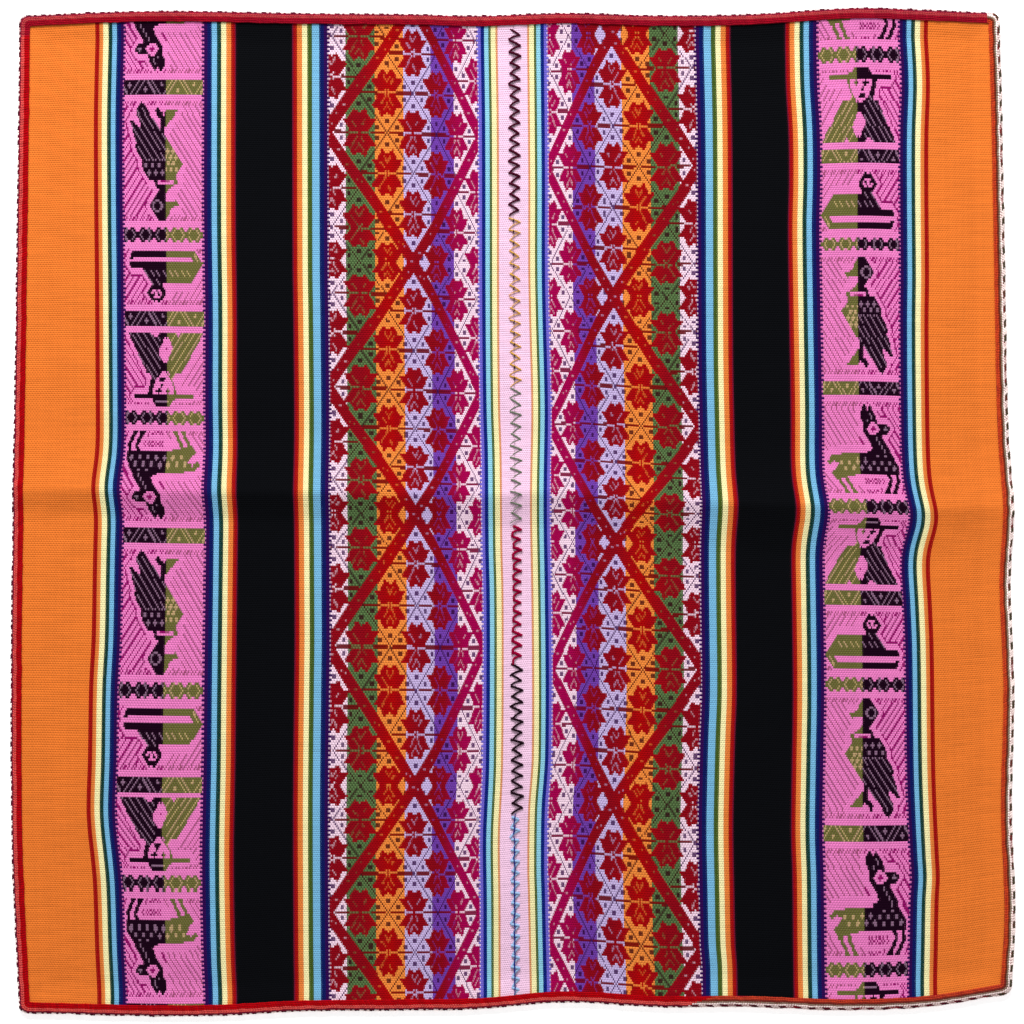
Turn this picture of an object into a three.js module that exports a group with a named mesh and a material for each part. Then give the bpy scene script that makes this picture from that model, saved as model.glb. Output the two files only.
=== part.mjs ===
// Andean mesa cloth, laid out flat.
// Two warp-faced webs meet along the middle, and one woven tubular edging runs all round them.
// The crease where the cloth was folded in half stands a little off the surface.
// Millimetres, +Z up, +X towards the right web, +Y towards the top edge.
// The origin is on the surface, under the middle of the cloth.
import * as THREE from "three";

// Thickness of the weave, and the space left between pieces that touch
const CLOTH_THICK = 1.5;
const GAP = 0.3;

// The edging is a flattened tube with the cloth's edge held inside it
const EDGING_WIDE = 7;
const EDGING_LIP = 0.9;
const EDGING_SLOT = 3.5;
const EDGING_TALL = 2 * EDGING_LIP + CLOTH_THICK + 2 * GAP;
const EDGING_BEYOND_CLOTH = EDGING_WIDE - EDGING_SLOT + GAP;
const HEM_LIFT = EDGING_LIP + GAP;

// Rounding of the four corners, at the outside of the edging and at its inner lip
const CORNER_OUTER_RADIUS = 5;
const CORNER_INNER_RADIUS = 1;
const CORNER_STEPS = 4;

// How far the outside of the edging lies from the middle lines, side by side
const LEFT_OUTLINE = [
  { at: -300, out: 300.8 },
  { at: -262, out: 302.8 },
  { at: -200, out: 305.3 },
  { at: -100, out: 305.8 },
  { at: 0, out: 304.7 },
  { at: 108, out: 303.1 },
  { at: 218, out: 301.6 },
  { at: 300, out: 300.6 },
];
const RIGHT_OUTLINE = [
  { at: -297, out: 303.0 },
  { at: -245, out: 305.9 },
  { at: -180, out: 303.8 },
  { at: -110, out: 305.0 },
  { at: -45, out: 303.2 },
  { at: 0, out: 304.6 },
  { at: 53, out: 301.3 },
  { at: 135, out: 299.5 },
  { at: 245, out: 298.4 },
  { at: 300, out: 296.8 },
];
const TOP_OUTLINE = [
  { at: -297, out: 302.9 },
  { at: -242, out: 305.4 },
  { at: -200, out: 305.9 },
  { at: -132, out: 304.6 },
  { at: -60, out: 303.9 },
  { at: -22, out: 303.0 },
  { at: 32, out: 304.7 },
  { at: 87, out: 303.2 },
  { at: 142, out: 303.8 },
  { at: 210, out: 307.8 },
  { at: 252, out: 306.5 },
  { at: 290, out: 304.8 },
];
const BOTTOM_OUTLINE = [
  { at: -297, out: 305.6 },
  { at: -215, out: 307.6 },
  { at: -175, out: 307.1 },
  { at: -130, out: 304.7 },
  { at: -50, out: 303.8 },
  { at: -20, out: 303.2 },
  { at: 32, out: 299.1 },
  { at: 90, out: 302.0 },
  { at: 140, out: 301.8 },
  { at: 205, out: 303.9 },
  { at: 255, out: 301.6 },
  { at: 300, out: 294.4 },
];

// The line where the two webs meet wanders a little to the right as it goes down
const SEAM_LINE = [
  { at: -300, out: 2.7 },
  { at: -190, out: 2.4 },
  { at: 60, out: 1.7 },
  { at: 190, out: 0.9 },
  { at: 300, out: 1.2 },
];

// The crease: where it crosses the cloth, and how high it stands, from left to right
const CREASE_LINE = [
  { at: -290, out: 13.4 },
  { at: 0, out: 11.0 },
  { at: 130, out: 9.2 },
  { at: 255, out: 4.9 },
  { at: 290, out: 2.4 },
];
const CREASE_HEIGHT = [
  { at: -285, out: 2.6 },
  { at: -190, out: 4.2 },
  { at: -40, out: 3.4 },
  { at: 60, out: 3.8 },
  { at: 150, out: 5.6 },
  { at: 215, out: 5.0 },
  { at: 285, out: 3.0 },
];
const CREASE_REACH = 26;
const CREASE_SHARPNESS = 1.5;

// Grid lines of a web, as distances in from its outer edge and from its top or bottom edge
const HALF_WIDTH = 298;
const HALF_LENGTH = 300;
const HEM_LINE = 4.2;
const COLUMN_LINES = [0, HEM_LINE, 14, 42, 70, 98, 126, 154, 182, 210, 240, 270, HALF_WIDTH];
const ROW_LINES = [0, HEM_LINE, 14, 45, 80, 120, 160, 200, 240, 274, 286, 294, HALF_LENGTH];

// Value of a table at a place along it, smooth between its rows and level past its ends
function read(table, at) {
  const last = table.length - 1;
  const held = THREE.MathUtils.clamp(at, table[0].at, table[last].at);
  let row = 0;
  while (row < last - 1 && held > table[row + 1].at) {
    row += 1;
  }
  const from = table[row];
  const to = table[row + 1];
  const before = table[Math.max(row - 1, 0)];
  const after = table[Math.min(row + 2, last)];
  const span = to.at - from.at;
  const slopeFrom = ((to.out - before.out) / (to.at - before.at)) * span;
  const slopeTo = ((after.out - from.out) / (after.at - from.at)) * span;
  const u = (held - from.at) / span;
  const curve = slopeFrom * u * (1 - u) ** 2 - slopeTo * u ** 2 * (1 - u);
  return from.out + (to.out - from.out) * u ** 2 * (3 - 2 * u) + curve;
}

// The edge lines of the cloth itself, inside the edging
const leftX = (y) => EDGING_BEYOND_CLOTH - read(LEFT_OUTLINE, y);
const rightX = (y) => read(RIGHT_OUTLINE, y) - EDGING_BEYOND_CLOTH;
const topY = (x) => read(TOP_OUTLINE, x) - EDGING_BEYOND_CLOTH;
const bottomY = (x) => EDGING_BEYOND_CLOTH - read(BOTTOM_OUTLINE, x);
const seamX = (y) => read(SEAM_LINE, y);

// Height of the surface under the cloth: the crease is a low tent with soft feet
function creaseHeight(x, up) {
  const distance = Math.abs(up - 0.5) * 2 * HALF_LENGTH;
  const near = Math.max(1 - distance / CREASE_REACH, 0);
  return read(CREASE_HEIGHT, x) * near ** CREASE_SHARPNESS;
}

// Point of an upright edge line, from the bottom at 0 through the crease at 0.5 to the top at 1
function alongSide(xAt, up) {
  const crease = read(CREASE_LINE, xAt(0));
  const end = up < 0.5 ? bottomY(xAt(-HALF_LENGTH)) : topY(xAt(HALF_LENGTH));
  const y = THREE.MathUtils.lerp(crease, end, Math.abs(up - 0.5) * 2);
  return new THREE.Vector2(xAt(y), y);
}

// Point of the bottom or top edge line between two upright lines, at a fraction across
function alongEnd(fromX, toX, yAt, up, across) {
  const x = THREE.MathUtils.lerp(alongSide(fromX, up).x, alongSide(toX, up).x, across);
  return new THREE.Vector2(x, yAt(x));
}

// Point inside a web, blended from its four edge lines
function webPoint(fromX, toX, across, up) {
  const point = new THREE.Vector2();
  point.addScaledVector(alongSide(fromX, up), 1 - across);
  point.addScaledVector(alongSide(toX, up), across);
  point.addScaledVector(alongEnd(fromX, toX, bottomY, 0, across), 1 - up);
  point.addScaledVector(alongEnd(fromX, toX, topY, 1, across), up);
  point.addScaledVector(alongSide(fromX, 0), -(1 - across) * (1 - up));
  point.addScaledVector(alongSide(toX, 0), -across * (1 - up));
  point.addScaledVector(alongSide(fromX, 1), -(1 - across) * up);
  point.addScaledVector(alongSide(toX, 1), -across * up);
  return point;
}

// Radius and centre of a corner's rounding, for a line at a distance out from the edging's inner lip
function cornerRound(reach) {
  const share = reach / EDGING_WIDE;
  const radius = THREE.MathUtils.lerp(CORNER_INNER_RADIUS, CORNER_OUTER_RADIUS, share);
  const side = reach - EDGING_WIDE + EDGING_BEYOND_CLOTH;
  return { radius, centre: side - radius };
}

// Fractions up the cloth for every grid row, closer together at the hems and at the crease
function rowFractions() {
  const lower = ROW_LINES.map((line) => line / (2 * HALF_LENGTH));
  const upper = ROW_LINES.slice(0, -1).map((line) => 1 - line / (2 * HALF_LENGTH));
  return lower.concat(upper.reverse());
}

// Closed solid between a grid of top points and the same grid one thickness lower
function sheetGeometry(grid) {
  const rows = grid.length;
  const columns = grid[0].length;
  const count = rows * columns;
  const positions = [];
  for (const drop of [0, CLOTH_THICK]) {
    for (const row of grid) {
      for (const point of row) {
        positions.push(point.x, point.y, point.z - drop);
      }
    }
  }
  const index = [];
  const quad = (a, b, c, d) => index.push(a, b, c, a, c, d);
  const at = (row, column) => row * columns + column;
  for (let r = 0; r + 1 < rows; r += 1) {
    for (let c = 0; c + 1 < columns; c += 1) {
      quad(at(r, c), at(r, c + 1), at(r + 1, c + 1), at(r + 1, c));
      quad(count + at(r, c), count + at(r + 1, c), count + at(r + 1, c + 1), count + at(r, c + 1));
    }
  }
  const rim = [];
  for (let c = 0; c + 1 < columns; c += 1) {
    rim.push([at(0, c + 1), at(0, c)], [at(rows - 1, c), at(rows - 1, c + 1)]);
  }
  for (let r = 0; r + 1 < rows; r += 1) {
    rim.push([at(r, 0), at(r + 1, 0)], [at(r + 1, columns - 1), at(r, columns - 1)]);
  }
  for (const [a, b] of rim) {
    quad(a, b, count + b, count + a);
  }
  return indexed(positions, index);
}

function indexed(positions, index) {
  const geometry = new THREE.BufferGeometry();
  geometry.setAttribute("position", new THREE.Float32BufferAttribute(positions, 3));
  geometry.setIndex(index);
  geometry.computeVertexNormals();
  return geometry;
}

// A corner of the cloth and the two ways out of it, each carrying on the slope of its own edge line
function cornerFrame(xAt, yAt, up) {
  const place = alongSide(xAt, up);
  const sideways = Math.sign(place.x);
  const upwards = Math.sign(place.y);
  const x = place.x - sideways * HEM_LINE;
  const y = place.y - upwards * HEM_LINE;
  const alongEndLine = new THREE.Vector2(x, yAt(x)).sub(place).divideScalar(-HEM_LINE);
  const alongSideLine = new THREE.Vector2(xAt(y), y).sub(place).divideScalar(-HEM_LINE);
  return { place, sideways, upwards, alongEndLine, alongSideLine };
}

// Pulls the corner of a web in, so that it stays inside the rounded corner of the edging
function roundCorner(point, frame) {
  const { radius } = cornerRound(EDGING_SLOT - GAP);
  const pull = radius * (1 - Math.SQRT1_2);
  point.x -= pull * (frame.alongEndLine.x + frame.alongSideLine.x);
  point.y -= pull * (frame.alongEndLine.y + frame.alongSideLine.y);
}

// One web between its outer edge line and the seam; outer is -1 for the left web and 1 for the right
function webGeometry(outer) {
  const seam = (y) => seamX(y) + (outer * GAP) / 2;
  const [fromX, toX] = outer < 0 ? [leftX, seam] : [seam, rightX];
  const fromOuter = COLUMN_LINES.map((line) => line / HALF_WIDTH);
  const across = outer < 0 ? fromOuter : fromOuter.map((share) => 1 - share).reverse();
  const hemShare = HEM_LINE / HALF_WIDTH;
  const ups = rowFractions();
  const grid = ups.map((up, row) =>
    across.map((share) => {
      const place = webPoint(fromX, toX, share, up);
      const inward = outer < 0 ? share : 1 - share;
      const rowsIn = Math.min(row, ups.length - 1 - row);
      const inHem = inward <= hemShare + Number.EPSILON || rowsIn <= 1;
      const lift = inHem ? HEM_LIFT : 0;
      return new THREE.Vector3(place.x, place.y, creaseHeight(place.x, up) + lift + CLOTH_THICK);
    }),
  );
  const outerColumn = outer < 0 ? 0 : across.length - 1;
  const xAt = outer < 0 ? leftX : rightX;
  roundCorner(grid[0][outerColumn], cornerFrame(xAt, bottomY, 0));
  roundCorner(grid[ups.length - 1][outerColumn], cornerFrame(xAt, topY, 1));
  return sheetGeometry(grid);
}

// Section of the edging, as distance out from its inner lip and height, going round once
const EDGING_SECTION = [
  { reach: 0.3, height: 0 },
  { reach: EDGING_WIDE - 1.4, height: 0 },
  { reach: EDGING_WIDE - 0.3, height: EDGING_LIP },
  { reach: EDGING_WIDE, height: EDGING_TALL / 2 },
  { reach: EDGING_WIDE - 0.3, height: EDGING_TALL - EDGING_LIP },
  { reach: EDGING_WIDE - 1.4, height: EDGING_TALL },
  { reach: 1.2, height: EDGING_TALL },
  { reach: 0, height: EDGING_TALL - EDGING_LIP / 2 },
  { reach: 0, height: EDGING_TALL - EDGING_LIP },
  { reach: EDGING_SLOT, height: EDGING_TALL - EDGING_LIP },
  { reach: EDGING_SLOT, height: EDGING_LIP },
  { reach: 0, height: EDGING_LIP },
];

// Stations of the edging along one straight side: a point of the cloth's edge and the way out from it
function sideStations(points, way) {
  return points.map(({ place, base }) => (reach) => {
    const out = reach - EDGING_WIDE + EDGING_BEYOND_CLOTH;
    return new THREE.Vector3(place.x + way.x * out, place.y + way.y * out, base);
  });
}

// Stations that carry the edging round one corner, turning a quarter from the angle given
function cornerStations(frame, startAngle) {
  return Array.from({ length: CORNER_STEPS + 1 }, (_, step) => (reach) => {
    const { radius, centre } = cornerRound(reach);
    const angle = startAngle + (step / CORNER_STEPS) * (Math.PI / 2);
    const outEnd = centre + frame.sideways * Math.cos(angle) * radius;
    const outSide = centre + frame.upwards * Math.sin(angle) * radius;
    const place = frame.place.clone();
    place.addScaledVector(frame.alongEndLine, outEnd).addScaledVector(frame.alongSideLine, outSide);
    return new THREE.Vector3(place.x, place.y, 0);
  });
}

// The edging, from the lower left corner and anticlockwise
function edgingGeometry() {
  const inner = COLUMN_LINES.slice(2, -1).map((line) => line / HALF_WIDTH);
  const leftShares = inner.concat([1]);
  const rightShares = inner.map((share) => 1 - share).reverse();
  const ups = rowFractions().slice(2, -2);
  const end = (yAt, up) => [
    ...leftShares.map((share) => ({ place: alongEnd(leftX, seamX, yAt, up, share), base: 0 })),
    ...rightShares.map((share) => ({ place: alongEnd(seamX, rightX, yAt, up, share), base: 0 })),
  ];
  const side = (xAt) =>
    ups.map((up) => {
      const place = alongSide(xAt, up);
      return { place, base: creaseHeight(place.x, up) };
    });
  const stations = [
    ...sideStations(end(bottomY, 0), new THREE.Vector2(0, -1)),
    ...cornerStations(cornerFrame(rightX, bottomY, 0), -Math.PI / 2),
    ...sideStations(side(rightX), new THREE.Vector2(1, 0)),
    ...cornerStations(cornerFrame(rightX, topY, 1), 0),
    ...sideStations(end(topY, 1).reverse(), new THREE.Vector2(0, 1)),
    ...cornerStations(cornerFrame(leftX, topY, 1), Math.PI / 2),
    ...sideStations(side(leftX).reverse(), new THREE.Vector2(-1, 0)),
    ...cornerStations(cornerFrame(leftX, bottomY, 0), Math.PI),
  ];
  const positions = [];
  for (const station of stations) {
    for (const { reach, height } of EDGING_SECTION) {
      const point = station(reach);
      positions.push(point.x, point.y, point.z + height);
    }
  }
  const round = EDGING_SECTION.length;
  const index = [];
  for (let s = 0; s < stations.length; s += 1) {
    const next = ((s + 1) % stations.length) * round;
    for (let p = 0; p < round; p += 1) {
      const q = (p + 1) % round;
      const [a, b, c, d] = [s * round + p, next + p, next + q, s * round + q];
      index.push(a, b, c, a, c, d);
    }
  }
  return indexed(positions, index);
}

// Colours of the yarns that cover most of each piece
const WEB_YARN = new THREE.MeshStandardMaterial({ color: 0xb4483c, roughness: 0.9, metalness: 0 });
const EDGING_YARN = new THREE.MeshStandardMaterial({ color: 0xa8161c, roughness: 0.9, metalness: 0 });

function piece(name, geometry, material) {
  const mesh = new THREE.Mesh(geometry, material);
  mesh.name = name;
  return mesh;
}

const group = new THREE.Group();
group.add(piece("left_web", webGeometry(-1), WEB_YARN));
group.add(piece("right_web", webGeometry(1), WEB_YARN));
group.add(piece("edging", edgingGeometry(), EDGING_YARN));

// The middle of the cloth's outline goes to the origin
const middle = new THREE.Box3().setFromObject(group).getCenter(new THREE.Vector3());
group.position.set(-middle.x, -middle.y, 0);
group.updateMatrixWorld(true);

export default group;
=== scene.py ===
"""Andean mesa cloth laid flat: two warp-faced webs, the tubular edging round them and the seam between."""

import logging
import math
from dataclasses import dataclass
from enum import Enum, IntEnum
from typing import Any, Callable, Sequence

import bpy
import numpy as np
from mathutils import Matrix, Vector


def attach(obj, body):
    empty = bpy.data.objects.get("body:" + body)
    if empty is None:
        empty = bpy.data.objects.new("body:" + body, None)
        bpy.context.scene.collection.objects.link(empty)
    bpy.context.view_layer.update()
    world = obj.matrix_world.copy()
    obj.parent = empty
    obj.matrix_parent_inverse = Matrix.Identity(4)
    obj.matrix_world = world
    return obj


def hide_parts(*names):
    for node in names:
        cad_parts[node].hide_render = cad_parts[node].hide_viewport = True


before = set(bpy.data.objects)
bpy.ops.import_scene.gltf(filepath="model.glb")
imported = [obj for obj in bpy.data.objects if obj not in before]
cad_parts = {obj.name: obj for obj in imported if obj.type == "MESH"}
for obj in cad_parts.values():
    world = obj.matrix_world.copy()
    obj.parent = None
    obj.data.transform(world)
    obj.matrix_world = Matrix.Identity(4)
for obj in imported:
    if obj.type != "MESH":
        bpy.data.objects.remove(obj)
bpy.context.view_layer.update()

log = logging.getLogger("mesa_cloth")

MM = 0.001
BODY = "root"
Array = np.ndarray
Point = tuple[float, float, float]

# Sizes that the solids have too, in millimetres
CLOTH_THICK = 1.5
GAP = 0.3
SEAM_GAP = 0.04
EDGING_WIDE = 7.0
EDGING_LIP = 0.9
EDGING_SLOT = 3.5
EDGING_BEYOND_CLOTH = EDGING_WIDE - EDGING_SLOT + GAP
HEM_LIFT = EDGING_LIP + GAP
HEM_LINE = 4.2
HEM_FOOT = 14.0
CORNER_OUTER_RADIUS = 5.0
CORNER_INNER_RADIUS = 1.0
HALF_LENGTH = 300.0
CREASE_UPPER_REACH = 40.0
CREASE_UPPER_SHARPNESS = 1.6

# The middle of the outline as drawn here, which is the frame's origin
MIDDLE = (0.0152, 0.0490)


@dataclass(frozen=True)
class Line:
    """A smooth line given by a few places along it and how far out it lies there."""

    rows: tuple[tuple[float, float], ...]

    def read(self, places: Any) -> Array:
        """Reads the line, smooth between its rows and level past its ends.

        Args:
            places: Where to read it, a number or an array.

        Returns:
            How far out the line lies at each place.
        """
        at, out = np.array(self.rows).T
        last = len(at) - 1
        held = np.clip(places, at[0], at[-1])
        row = np.clip(np.searchsorted(at, held) - 1, 0, last - 1)
        before, after = np.maximum(row - 1, 0), np.minimum(row + 2, last)
        span = at[row + 1] - at[row]
        slope_from = (out[row + 1] - out[before]) / (at[row + 1] - at[before]) * span
        slope_to = (out[after] - out[row]) / (at[after] - at[row]) * span
        u = (held - at[row]) / span
        curve = slope_from * u * (1 - u) ** 2 - slope_to * u**2 * (1 - u)
        return out[row] + (out[row + 1] - out[row]) * u**2 * (3 - 2 * u) + curve


def line(*rows: tuple[float, float]) -> Line:
    """The line through rows of a place and how far out it lies there."""
    return Line(rows)


LEFT_OUTLINE = line(
    (-300, 300.8), (-262, 302.8), (-200, 305.3), (-100, 305.8), (0, 304.7), (108, 303.1), (218, 301.6),
    (300, 300.6),
)
RIGHT_OUTLINE = line(
    (-297, 304.2), (-245, 307.1), (-180, 305.0), (-110, 306.5), (-45, 304.2), (0, 305.8), (53, 302.8),
    (135, 301.1), (245, 299.0), (300, 297.4),
)
TOP_OUTLINE = line(
    (-297, 302.9), (-242, 305.4), (-200, 305.9), (-132, 304.6), (-60, 303.9), (-22, 303.0), (32, 304.7),
    (87, 303.2), (142, 303.8), (210, 307.8), (252, 306.5), (290, 304.8),
)
BOTTOM_OUTLINE = line(
    (-297, 305.6), (-215, 307.6), (-175, 307.1), (-130, 304.7), (-50, 303.8), (-20, 303.2), (32, 299.1),
    (90, 302.0), (140, 301.8), (205, 303.9), (255, 301.6), (300, 294.4),
)
SEAM_LINE = line((-300, 2.7), (-190, 2.4), (60, 1.7), (190, 0.9), (300, 1.2))
CREASE_LINE = line((-290, 13.4), (0, 11.0), (130, 9.2), (255, 4.9), (290, 2.4))
CREASE_HEIGHT = line((-285, 2.6), (-190, 4.2), (-40, 3.4), (60, 3.8), (150, 5.6), (215, 5.0), (285, 3.0))
CREASE_LOWER_REACH = line((-300, 13.0), (-190, 15.0), (0, 20.0), (150, 30.0), (300, 36.0))
CREASE_LOWER_SHARPNESS = line((-300, 1.0), (0, 1.2), (300, 1.6))

EdgeLine = Callable[[Any], Array]


def left_x(y: Any) -> Array:
    """Left edge of the cloth at a height y."""
    return EDGING_BEYOND_CLOTH - LEFT_OUTLINE.read(y)


def right_x(y: Any) -> Array:
    """Right edge of the cloth at a height y."""
    return RIGHT_OUTLINE.read(y) - EDGING_BEYOND_CLOTH


def top_y(x: Any) -> Array:
    """Top edge of the cloth at a place x."""
    return TOP_OUTLINE.read(x) - EDGING_BEYOND_CLOTH


def bottom_y(x: Any) -> Array:
    """Bottom edge of the cloth at a place x."""
    return EDGING_BEYOND_CLOTH - BOTTOM_OUTLINE.read(x)


def seam_x(y: Any) -> Array:
    """The line where the two webs meet, at a height y."""
    return SEAM_LINE.read(y)


def crease_height(x: Array, up: Array) -> Array:
    """Height of the surface under the cloth, a ridge along the fold that falls off on both sides."""
    away = (up - 0.5) * 2 * HALF_LENGTH
    reach = np.where(away > 0, CREASE_UPPER_REACH, CREASE_LOWER_REACH.read(x))
    sharpness = np.where(away > 0, CREASE_UPPER_SHARPNESS, CREASE_LOWER_SHARPNESS.read(x))
    return CREASE_HEIGHT.read(x) * np.maximum(1 - np.abs(away) / reach, 0) ** sharpness


def along_side(x_at: EdgeLine, up: Any) -> Array:
    """Points of an upright line, from the bottom at 0 through the crease at 0.5 to the top at 1."""
    up = np.asarray(up, float)
    crease = CREASE_LINE.read(x_at(0.0))
    end = np.where(up < 0.5, bottom_y(x_at(-HALF_LENGTH)), top_y(x_at(HALF_LENGTH)))
    y = crease + (end - crease) * np.abs(up - 0.5) * 2
    return np.stack([x_at(y), y], -1)


def along_end(from_x: EdgeLine, to_x: EdgeLine, y_at: EdgeLine, up: float, across: Any) -> Array:
    """Points of the bottom or top edge between two upright lines, at fractions across."""
    across = np.asarray(across, float)
    low, high = along_side(from_x, up)[0], along_side(to_x, up)[0]
    x = low + (high - low) * across
    return np.stack([x, y_at(x)], -1)


def web_points(from_x: EdgeLine, to_x: EdgeLine, across: Array, up: Array) -> Array:
    """Points inside a web, blended from its four edge lines.

    Args:
        from_x: The web's left edge line.
        to_x: The web's right edge line.
        across: Fractions across the web.
        up: Fractions up the web, of the same shape.

    Returns:
        One point of two numbers for each pair of fractions.
    """
    a, u = across[..., None], up[..., None]
    sides = along_side(from_x, up) * (1 - a) + along_side(to_x, up) * a
    low = along_end(from_x, to_x, bottom_y, 0.0, across) * (1 - u)
    high = along_end(from_x, to_x, top_y, 1.0, across) * u
    lower = along_side(from_x, 0.0) * (1 - a) + along_side(to_x, 0.0) * a
    upper = along_side(from_x, 1.0) * (1 - a) + along_side(to_x, 1.0) * a
    return sides + low + high - lower * (1 - u) - upper * u


class Tone(Enum):
    """Colours of the yarns, as sRGB."""

    ORANGE_FIELD = 0xEE7C30
    RED = 0xA00A0E
    ORANGE = 0xE8803A
    YELLOW = 0xFAF0B4
    GREEN = 0x103830
    LEAF = 0x435A1E
    SKY = 0x78B8DE
    NAVY = 0x0C185A
    PURPLE = 0x30064E
    PINK = 0xF583C8
    MAROON = 0x70102F
    BLACK = 0x06070B
    VIOLET_BLUE = 0x7266D0
    DEEP_BLUE = 0x081E78
    CYAN = 0x90D0E6
    TAN = 0xDE9262
    PALE_PINK = 0xFCD0EC
    OLIVE = 0x5F6424
    INK = 0x180014
    HATCH = 0x8E0A62
    FAINT_HATCH = 0xA04E74
    OLIVE_LIGHT = 0xB89A70
    INK_LIGHT = 0x86647E
    CRIMSON = 0x880414
    SCARLET = 0xA60204
    MAGENTA = 0xA0004A
    FLOWER_GREEN = 0x5C7848
    FLOWER_ORANGE = 0xF88E3E
    LAVENDER = 0xCCB6E6
    VIOLET = 0x7440AC
    WHITE_PINK = 0xFFDDF0
    EDGING_RED = 0xA80008
    CORAL = 0xCD4B46
    RUST = 0xBE401E
    EYE_DARK = 0x4B1423
    EYE_WHITE = 0xFFEBE6
    KHAKI = 0x8A7A66
    BROWN = 0x6E2A18
    EYE_OLIVE = 0x4A4230
    GOLD = 0xD2A03C
    GREY_GREEN = 0x6E7864
    SEAM_BLACK = 0x1C0A14
    SEAM_MAROON = 0x42081F
    SEAM_CRIMSON = 0x8C0030
    PALE_BLUE = 0x96B4D8

    def linear(self) -> Array:
        """The colour as three linear numbers."""
        parts = np.array([self.value >> 16, self.value >> 8, self.value]) & 255
        share = parts / 255
        return np.where(share <= 0.04045, share / 12.92, ((share + 0.055) / 1.055) ** 2.4)

    def rgba(self) -> tuple[float, ...]:
        """The colour as three linear numbers and full alpha."""
        return (*map(float, self.linear()), 1.0)


@dataclass(frozen=True)
class Stripe:
    """Neighbouring warp threads of one colour, in which every other float may lie darker."""

    tone: Tone
    threads: int
    width: float
    pepper: float = 0.05


# The warp from the first stripe, beside the orange field, to the pink threads along the seam
STRIPES = (
    Stripe(Tone.RED, 4, 2.5),
    Stripe(Tone.ORANGE, 4, 2.0),
    Stripe(Tone.YELLOW, 4, 3.6),
    Stripe(Tone.GREEN, 4, 2.0),
    Stripe(Tone.SKY, 4, 2.9),
    Stripe(Tone.NAVY, 4, 2.5),
    Stripe(Tone.PURPLE, 4, 2.2),
    Stripe(Tone.PINK, 60, 47.4, 0.22),
    Stripe(Tone.PURPLE, 4, 2.7),
    Stripe(Tone.NAVY, 4, 2.5),
    Stripe(Tone.SKY, 4, 3.5),
    Stripe(Tone.GREEN, 4, 2.3),
    Stripe(Tone.YELLOW, 4, 3.2),
    Stripe(Tone.ORANGE, 4, 2.9),
    Stripe(Tone.RED, 3, 2.2),
    Stripe(Tone.MAROON, 1, 0.6),
    Stripe(Tone.BLACK, 44, 34.5),
    Stripe(Tone.MAROON, 1, 0.7),
    Stripe(Tone.RED, 3, 2.2),
    Stripe(Tone.ORANGE, 4, 3.1),
    Stripe(Tone.YELLOW, 4, 3.2),
    Stripe(Tone.LEAF, 4, 2.8),
    Stripe(Tone.SKY, 6, 4.4),
    Stripe(Tone.NAVY, 4, 2.9),
    Stripe(Tone.PURPLE, 4, 2.6),
    Stripe(Tone.WHITE_PINK, 12, 10.4, 0.3),
    Stripe(Tone.FLOWER_GREEN, 19, 17.7, 0.5),
    Stripe(Tone.FLOWER_ORANGE, 20, 17.4, 0.24),
    Stripe(Tone.LAVENDER, 21, 16.6, 0.22),
    Stripe(Tone.VIOLET, 21, 13.8, 0.2),
    Stripe(Tone.WHITE_PINK, 23, 14.7, 0.2),
    Stripe(Tone.VIOLET_BLUE, 4, 2.2),
    Stripe(Tone.DEEP_BLUE, 4, 2.1),
    Stripe(Tone.CYAN, 4, 2.5),
    Stripe(Tone.LEAF, 2, 1.6),
    Stripe(Tone.YELLOW, 4, 2.7),
    Stripe(Tone.TAN, 2, 1.9),
)
FIELD_THREADS = 55
SEAM_SIDE_THREADS = 15
FIGURE_FIRST_STRIPE = 7
BLACK_STRIPE = 16
FLOWER_FIRST_STRIPE = 25
FIGURE_THREADS = 60
FLOWER_THREADS = 116


def threads_before(stripe: int) -> int:
    """Number of warp threads between the outer edge and a stripe."""
    return FIELD_THREADS + sum(s.threads for s in STRIPES[:stripe])


ALL_THREADS = threads_before(len(STRIPES)) + SEAM_SIDE_THREADS
FIGURE_START = threads_before(FIGURE_FIRST_STRIPE)
FIGURE_END = FIGURE_START + FIGURE_THREADS
BLACK_START = threads_before(BLACK_STRIPE)
BLACK_END = threads_before(BLACK_STRIPE + 1)
FLOWER_START = threads_before(FLOWER_FIRST_STRIPE)
SEAM_SIDE_START = ALL_THREADS - SEAM_SIDE_THREADS

# The webs' slight waves and the puckers beside the edging: lengths for one radian, and shifts in radians
WAVE_WIDE = 23
WAVE_LONG = 37
WAVE_BEND = 1.4
WAVE_BEND_LENGTH = 61
WAVE_SLANT_LENGTH = 90
WAVE_START = 0.6
PUCKER_LONG = 6.5
PUCKER_SHIFT = 1.3
PUCKER_SHIFT_LENGTH = 31

# Threads that wander together along a web: both sides of each plain stretch of stripes, then the seam side
DRIFT_THREADS = (
    (FIELD_THREADS, FIGURE_START), (FIGURE_END, BLACK_START), (BLACK_END, FLOWER_START), (SEAM_SIDE_START,),
)


class Code(IntEnum):
    """What a charted cell of the weave shows."""

    GROUND = 0
    MOTIF = 1
    LINE = 2
    LIGHT = 3
    VEIN = 4
    SHADE = 5


GROUND, MOTIF, LINE, LIGHT, VEIN, SHADE = Code


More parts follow.
